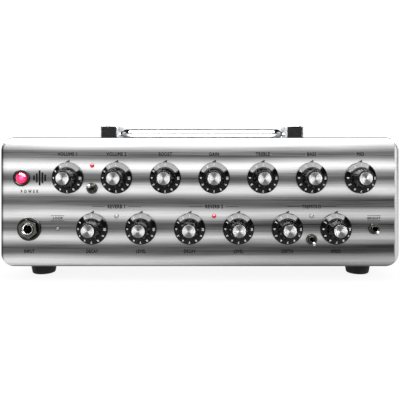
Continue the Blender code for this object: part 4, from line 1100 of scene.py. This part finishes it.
def block_cap(side, low, high):
    """A black insert with a raised rim round a fine-ribbed field."""
    middle = (low + high) / 2
    size = high - low
    depth = size.y

    def build(bm):
        place = Matrix.Translation((middle.x, high.y, middle.z)) @ AROUND_Y
        rim = 1.1 * MM
        rings = []
        ease = 0.3 * MM
        steps = [(0, 0), (0, depth - ease), (ease, depth), (rim, depth), (rim + 0.2 * MM, depth - 0.5 * MM)]
        for shrink, height in steps:
            corner = max(0.8 * MM - shrink, 0.25 * MM)
            outline = rounded_rectangle(size.x - 2 * shrink, size.z - 2 * shrink, corner, 4)
            rings.append([place @ Vector((p.x, p.y, height)) for p in outline])
        loft(bm, rings)
        ribs = 9
        for i in range(ribs):
            x = (i - (ribs - 1) / 2) * (size.x - 3.4 * MM) / (ribs - 1)
            outline = rounded_rectangle(0.7 * MM, size.z - 3.2 * MM, 0.3 * MM, 3)
            rib = place @ Matrix.Translation((x, 0, 0))
            extruded(bm, outline, depth - 0.9 * MM, depth - 0.2 * MM, rib, 0.15 * MM)

    node = f"handle_cap_{side}"
    mesh = mesh_of(f"{node}_insert", build)
    piece(f"{node}_insert", mesh, [CAP_BLACK], CASE, replaces=[node])


def bail():
    """One bent round bar on two stubs, drawn to the CAD bail's measurements."""
    low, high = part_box("handle_bail")
    pivot = Vector(joint_of("handle_bail")["pos_m"])
    radius = (high.z - low.z) / 2
    reach = pivot.y - low.y - radius
    tail = high.y - pivot.y
    block_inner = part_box("handle_block_right")[0].x
    half_x = block_inner - 4.3 * MM - radius
    bend = 12 * MM
    path = [Vector((-half_x, tail - 0.6 * MM, 0))]
    for start, cx in ((180, -half_x + bend), (270, half_x - bend)):
        for i in range(17):
            angle = math.radians(start + 90 * i / 16)
            path.append(Vector((cx, -reach + bend, 0)) + bend * Vector((math.cos(angle), math.sin(angle), 0)))
    path.append(Vector((half_x, tail - 0.6 * MM, 0)))

    def bar_round(bm):
        rings = []
        up = Vector((0, 0, 1))
        for i, point in enumerate(path):
            before, after = path[max(i - 1, 0)], path[min(i + 1, len(path) - 1)]
            side = (after - before).normalized().cross(up)
            rings.append([point + p.x * side + p.y * up for p in circle(radius, 32)])
        eased = []
        for end in (0, -1):
            tip = path[end] + Vector((0, 0.6 * MM, 0))
            eased.append([tip + (p - path[end]) * 0.86 for p in rings[end]])
        loft(bm, [eased[0], *rings, eased[1]])

    def stubs(bm):
        for sign in (-1, 1):
            reach_in, reach_out = half_x, block_inner + 9 * MM
            place = Matrix.Rotation(math.pi / 2, 4, "Y")
            ends = sorted((sign * reach_in, sign * reach_out))
            turned(bm, section(0, 3.2 * MM, *ends), 32, place)
            shoulder = sorted((sign * (half_x + radius - 0.6 * MM), sign * (block_inner - 0.8 * MM)))
            turned(bm, section(0, 4.1 * MM, *shoulder), 32, place)

    mesh = carved(mesh_of("bail", bar_round), "UNION", stubs, 35)
    piece("chrome_bail", mesh, [CHROME], "handle_bail", pivot, ["handle_bail"])


# ---- rear ------------------------------------------------------------------------------------
REAR_LABELS = {
    "mains_inlet": "MAINS",
    "power_switch_frame": "POWER",
    "fuse_holder": "FUSE",
    "speaker_jack_1": "SPEAKER 1",
    "speaker_jack_2": "SPEAKER 2",
    "loop_return_jack": "RETURN",
    "loop_send_jack": "SEND",
    "footswitch_jack": "FOOTSWITCH",
}


def rear_plate():
    size = REAR_HIGH - REAR_LOW
    middle_z = (REAR_LOW.z + REAR_HIGH.z) / 2
    ease = 0.3 * MM

    def plate(bm):
        rings = []
        for y, shrink in ((REAR_LOW.y, 0), (REAR_Y - ease, 0), (REAR_Y, ease)):
            outline = rounded_rectangle(size.x - 2 * shrink, size.z - 2 * shrink, 7.2 * MM - shrink)
            rings.append([Vector((p.x, y, p.y + middle_z)) for p in outline])
        loft(bm, rings)

    def holes(bm):
        for node in REAR_LABELS:
            middle = centre(node)
            place = Matrix.Translation((middle.x, REAR_Y, middle.z)) @ OUT_REAR
            if node == "mains_inlet":
                extruded(bm, rounded_rectangle(27.6 * MM, 20.6 * MM, 1 * MM, 3), -6 * MM, 4 * MM, place)
            elif node == "power_switch_frame":
                extruded(bm, rounded_rectangle(19.6 * MM, 13.6 * MM, 0.6 * MM, 3), -6 * MM, 4 * MM, place)
            else:
                radius = 6.5 * MM if node == "fuse_holder" else 5 * MM
                turned(bm, section(0, radius, -6 * MM, 4 * MM), 40, place)

    mesh = carved(mesh_of("rear_plate", plate), "DIFFERENCE", holes)
    piece("rear_plate", mesh, [SLEEVE], CASE, replaces=["rear_panel"])


def rear_print():
    def marks(bm):
        for node, text in REAR_LABELS.items():
            middle = centre(node)
            lettering(bm, text, 2.6 * MM, on_rear(middle.x, middle.z + 17 * MM))
        for first, second, text in (
            ("speaker_jack_1", "speaker_jack_2", "OUTPUT"),
            ("loop_send_jack", "loop_return_jack", "LOOP"),
        ):
            x = (centre(first).x + centre(second).x) / 2
            z = centre(first).z - 16 * MM
            lettering(bm, text, 2.6 * MM, on_rear(x, z))
            for side in (-1, 1):
                ends = sorted((side * (half_width(text) + 2 * MM), side * 20 * MM))
                bar(bm, on_rear(x, z), *ends, -LINE_THICK / 2, LINE_THICK / 2)

    piece("rear_print", mesh_of("rear_print", marks), [BLACK_INK], CASE)


def rear_screws():
    edge_x, edge_z = 8 * MM, 7 * MM
    mesh = mesh_of("rear_screw", lambda bm: screw_head(bm, 2.8 * MM, 1.7 * MM))
    mesh.transform(OUT_REAR)
    columns = (REAR_LOW.x + edge_x, 0, REAR_HIGH.x - edge_x)
    rows = (REAR_LOW.z + edge_z, REAR_HIGH.z - edge_z)
    spots = [(x, z) for x in columns for z in rows]
    for i, (x, z) in enumerate(spots):
        piece(f"rear_screw_{i + 1}", mesh, [STEEL], CASE, (x, REAR_Y + 0.05 * MM, z))


def mains_inlet():
    low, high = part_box("mains_inlet")
    middle = centre("mains_inlet")
    place = Matrix.Translation((middle.x, REAR_Y, middle.z)) @ OUT_REAR
    flange = high.y - REAR_Y

    def body(bm):
        extruded(bm, rounded_rectangle(27 * MM, 20 * MM, 1.5 * MM, 4), low.y - REAR_Y, 0.5 * MM, place)
        outline = rounded_rectangle(high.x - low.x, high.z - low.z, 2.5 * MM, 8)
        extruded(bm, outline, 0.3 * MM, flange, place, 0.6 * MM)

    def cavity(bm):
        corners = ((12, 8.3), (-12, 8.3), (-12, -4.3), (-8, -8.3), (8, -8.3), (12, -4.3))
        outline = [Vector(p) * MM for p in corners]
        extruded(bm, outline, flange - 16 * MM, flange + 1 * MM, place)

    mesh = carved(mesh_of("inlet", body), "DIFFERENCE", cavity)
    piece("inlet_body", mesh, [MATT_BLACK], CASE, replaces=["mains_inlet"])

    def pins(bm):
        for x, z in ((-7, -2), (0, 2), (7, -2)):
            seat = place @ Matrix.Translation((x * MM, z * MM, 0))
            pin = rounded_rectangle(2 * MM, 4 * MM, 0.4 * MM, 3)
            extruded(bm, pin, flange - 16.5 * MM, flange - 6 * MM, seat, 0.4 * MM)

    piece("inlet_pins", mesh_of("inlet_pins", pins), [NICKEL], CASE)


def power_switch():
    low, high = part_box("power_switch_frame")
    middle = centre("power_switch_frame")
    place = Matrix.Translation((middle.x, REAR_Y, middle.z)) @ OUT_REAR
    flange = high.y - REAR_Y

    def body(bm):
        extruded(bm, rounded_rectangle(19 * MM, 13 * MM, 0.5 * MM, 3), low.y - REAR_Y, 0.5 * MM, place)
        outline = rounded_rectangle(high.x - low.x, high.z - low.z, 1.2 * MM, 6)
        extruded(bm, outline, 0.3 * MM, flange, place, 0.5 * MM)

    def cavity(bm):
        extruded(bm, rounded_rectangle(16.8 * MM, 10.8 * MM, 0.3 * MM, 2), -9 * MM, flange + 1 * MM, place)

    mesh = carved(mesh_of("switch_frame", body), "DIFFERENCE", cavity)
    piece("switch_frame", mesh, [MATT_BLACK], CASE, replaces=["power_switch_frame"])
    rocker()


def rocker():
    """The paddle, dished to either side of its pivot, with the usual on and off marks."""
    joint = joint_of("power_rocker")
    pivot = Vector(joint["pos_m"])
    low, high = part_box("power_rocker")
    tilt = math.radians(joint["range_deg"][1]) / 2
    half_x = (high.x - low.x) / 2
    reach = high.y - pivot.y
    half_z = 4.7 * MM
    face_y = (reach - half_z * math.sin(tilt)) / math.cos(tilt)
    valley = face_y - half_z * math.tan(tilt)
    side = [(face_y, half_z), (valley, 0), (face_y, -half_z)]
    side += [(-1.2 * MM, -half_z * 0.55), (-1.2 * MM, half_z * 0.55)]
    turn = Matrix.Rotation(-tilt, 4, "X")

    def paddle(bm):
        rings = [[turn @ Vector((x, y, z)) for y, z in side] for x in (-half_x, half_x)]
        loft(bm, rings)
        bmesh.ops.recalc_face_normals(bm, faces=bm.faces)
        sharp = [edge for edge in bm.edges if edge.calc_face_angle() > math.radians(40)]
        bmesh.ops.bevel(bm, geom=sharp, offset=0.3 * MM, segments=2, affect="EDGES", profile=0.5)
        for mark, z in (("I", half_z * 0.55), ("O", -half_z * 0.55)):
            lean = math.copysign(math.atan2(face_y - valley, half_z), z)
            height = valley + abs(z) * math.tan(tilt)
            seat = Matrix.Translation((0, height, z)) @ Matrix.Rotation(lean, 4, "X")
            seat = seat @ Matrix.Translation((0, INK_LIFT, 0))
            flip = Matrix.Rotation(math.pi, 4, "Z") @ AROUND_Y
            lettering(bm, mark, 2.2 * MM, turn @ seat @ flip, 1.0, 1, 0.02, 1)

    mesh = mesh_of("rocker_paddle", paddle)
    finish = [GLOSS_BLACK, WHITE_INK]
    piece("rocker_paddle", mesh, finish, "power_rocker", pivot, ["power_rocker"])


def fuse_holder():
    middle = centre("fuse_holder")
    place = Matrix.Translation((middle.x, REAR_Y, middle.z)) @ OUT_REAR
    profile = [(0, -28), (5.2, -28), (6.2, -6), (6.2, 0.3), (8.4, 0.3), (8.4, 1.2)]
    profile += [(8.0, 1.6), (6.6, 1.9), (6.1, 2.2)]
    profile += [(6.0, 4.2), (5.7, 4.6), (0, 4.6)]
    points = [(r * MM, h * MM) for r, h in profile]

    def slot_cut(bm):
        extruded(bm, rounded_rectangle(8 * MM, 1.3 * MM, 0.4 * MM, 3), 3.6 * MM, 6 * MM, place)

    mesh = carved(mesh_of("fuse", lambda bm: turned(bm, points, 48, place)), "DIFFERENCE", slot_cut)
    piece("fuse_cap", mesh, [MATT_BLACK], CASE, replaces=["fuse_holder"])


# ---- inside ----------------------------------------------------------------------------------
def inside():
    """CAD pieces that only the vents show keep their shapes, and get real finishes."""
    finishes = {
        "upper_control_board": BOARD,
        "lower_control_board": BOARD,
        "main_board": BOARD,
        "toroidal_transformer": TAPE,
        "transformer_clamp": STEEL,
        "heat_sink": HEATSINK,
        "chassis_tray": STEEL,
    }
    for node, material in finishes.items():
        for slot in frame["nodes"][node].material_slots:
            slot.material = material


# ---- studio ----------------------------------------------------------------------------------
CAMERA_DISTANCE = 385 * MM  # camera to the face plate
CAMERA_HEIGHT = FACE_BOTTOM + 89 * MM


def camera():
    data = bpy.data.cameras.new("camera")
    data.lens = 41.98
    data.sensor_width = 36
    data.shift_x = -0.03
    data.shift_y = -0.1023
    data.clip_start = 0.02
    obj = bpy.data.objects.new("camera", data)
    obj.location = (10 * MM, FRONT_Y - CAMERA_DISTANCE, CAMERA_HEIGHT)
    obj.rotation_euler = (math.radians(90), 0, 0)
    bpy.context.scene.collection.objects.link(obj)
    bpy.context.scene.camera = obj


def softbox(name, location, aim, width, height, radiance, diffuse=False):
    """A soft light that shows mostly as a reflection, unless diffuse."""
    data = bpy.data.lights.new(name, "AREA")
    data.shape = "RECTANGLE"
    data.size = width
    data.size_y = height
    data.energy = radiance * math.pi * width * height
    obj = bpy.data.objects.new(name, data)
    obj.location = location
    obj.rotation_euler = (Vector(aim) - Vector(location)).to_track_quat("-Z", "Y").to_euler()
    obj.visible_camera = False
    obj.visible_diffuse = diffuse
    bpy.context.scene.collection.objects.link(obj)


def studio():
    aim = (0, 0, 0.06)
    softbox("overhead_front", (0, FRONT_Y - 0.4, 0.72), (0, FRONT_Y, 0.06), 1.9, 0.5, 27)
    softbox("front_card", (0, FRONT_Y - 2.6, 0.3), aim, 3.8, 1.5, 1.6)
    softbox("rear_card", (0, 2.6, 0.9), aim, 3.6, 1.2, 1.6)
    softbox("overhead_rear", (0, 1.0, 1.4), aim, 1.6, 0.6, 2)
    for side in (-1, 1):
        softbox(f"side_card_{side}", (side * 2.4, 0.5, 0.7), aim, 1.6, 1.0, 1.1)


def world():
    """White for the camera and for soft light, dark between the softboxes in reflections."""
    made = bpy.data.worlds.new("studio")
    bpy.context.scene.world = made
    made.use_nodes = True
    tree = made.node_tree
    background = tree.nodes["Background"]
    path = tree.nodes.new("ShaderNodeLightPath")
    coordinates = tree.nodes.new("ShaderNodeTexCoord")
    split = tree.nodes.new("ShaderNodeSeparateXYZ")
    tree.links.new(coordinates.outputs["Generated"], split.inputs["Vector"])
    ramp = tree.nodes.new("ShaderNodeValToRGB")
    elements = ramp.color_ramp.elements
    elements[0].color = (0.1, 0.1, 0.1, 1)
    elements[1].color = (0.4, 0.4, 0.41, 1)
    for height, level in ((0.2, 0.1), (0.32, 0.012), (0.93, 0.012)):
        elements.new(height).color = (level, level, level, 1)
    tree.links.new(split.outputs["Z"], ramp.inputs["Fac"])
    mix = tree.nodes.new("ShaderNodeMixRGB")
    mix.inputs["Color1"].default_value = (1.12, 1.12, 1.12, 1)
    tree.links.new(path.outputs["Is Glossy Ray"], mix.inputs["Fac"])
    tree.links.new(ramp.outputs["Color"], mix.inputs["Color2"])
    tree.links.new(mix.outputs["Color"], background.inputs["Color"])


def floor():
    """Pale paper, bright enough in itself to keep the shadow under the case light."""
    mesh = bpy.data.meshes.new("floor")
    half = 4
    corners = [(-half, -half, 0), (half, -half, 0), (half, half, 0), (-half, half, 0)]
    mesh.from_pydata(corners, [], [(0, 1, 2, 3)])
    paper = Surface("floor_paper", (0.14, 0.14, 0.14), 0.8, Specular_IOR_Level=0.0)
    paper.shader.inputs["Emission Color"].default_value = (1, 1, 1, 1)
    glossy = paper.node("ShaderNodeLightPath").outputs["Is Glossy Ray"]
    paper.link("Emission Strength", paper.maths("MULTIPLY_ADD", glossy, -0.2, 0.88))
    mesh.materials.append(paper.material)
    obj = bpy.data.objects.new("floor", mesh)
    obj.location.z = CAD_BOUNDS[0].z
    bpy.context.scene.collection.objects.link(obj)


# ---- the whole scene -------------------------------------------------------------------------
camera()
face_plate()
face_print()
knobs()
lamps()
pilot_light()
toggles()
input_jack()
case_sleeve()
feet()
handle()
rear_plate()
rear_print()
rear_screws()
rear_jacks()
mains_inlet()
power_switch()
fuse_holder()
inside()
studio()
world()
floor()
bpy.context.scene.view_settings.view_transform = "Standard"
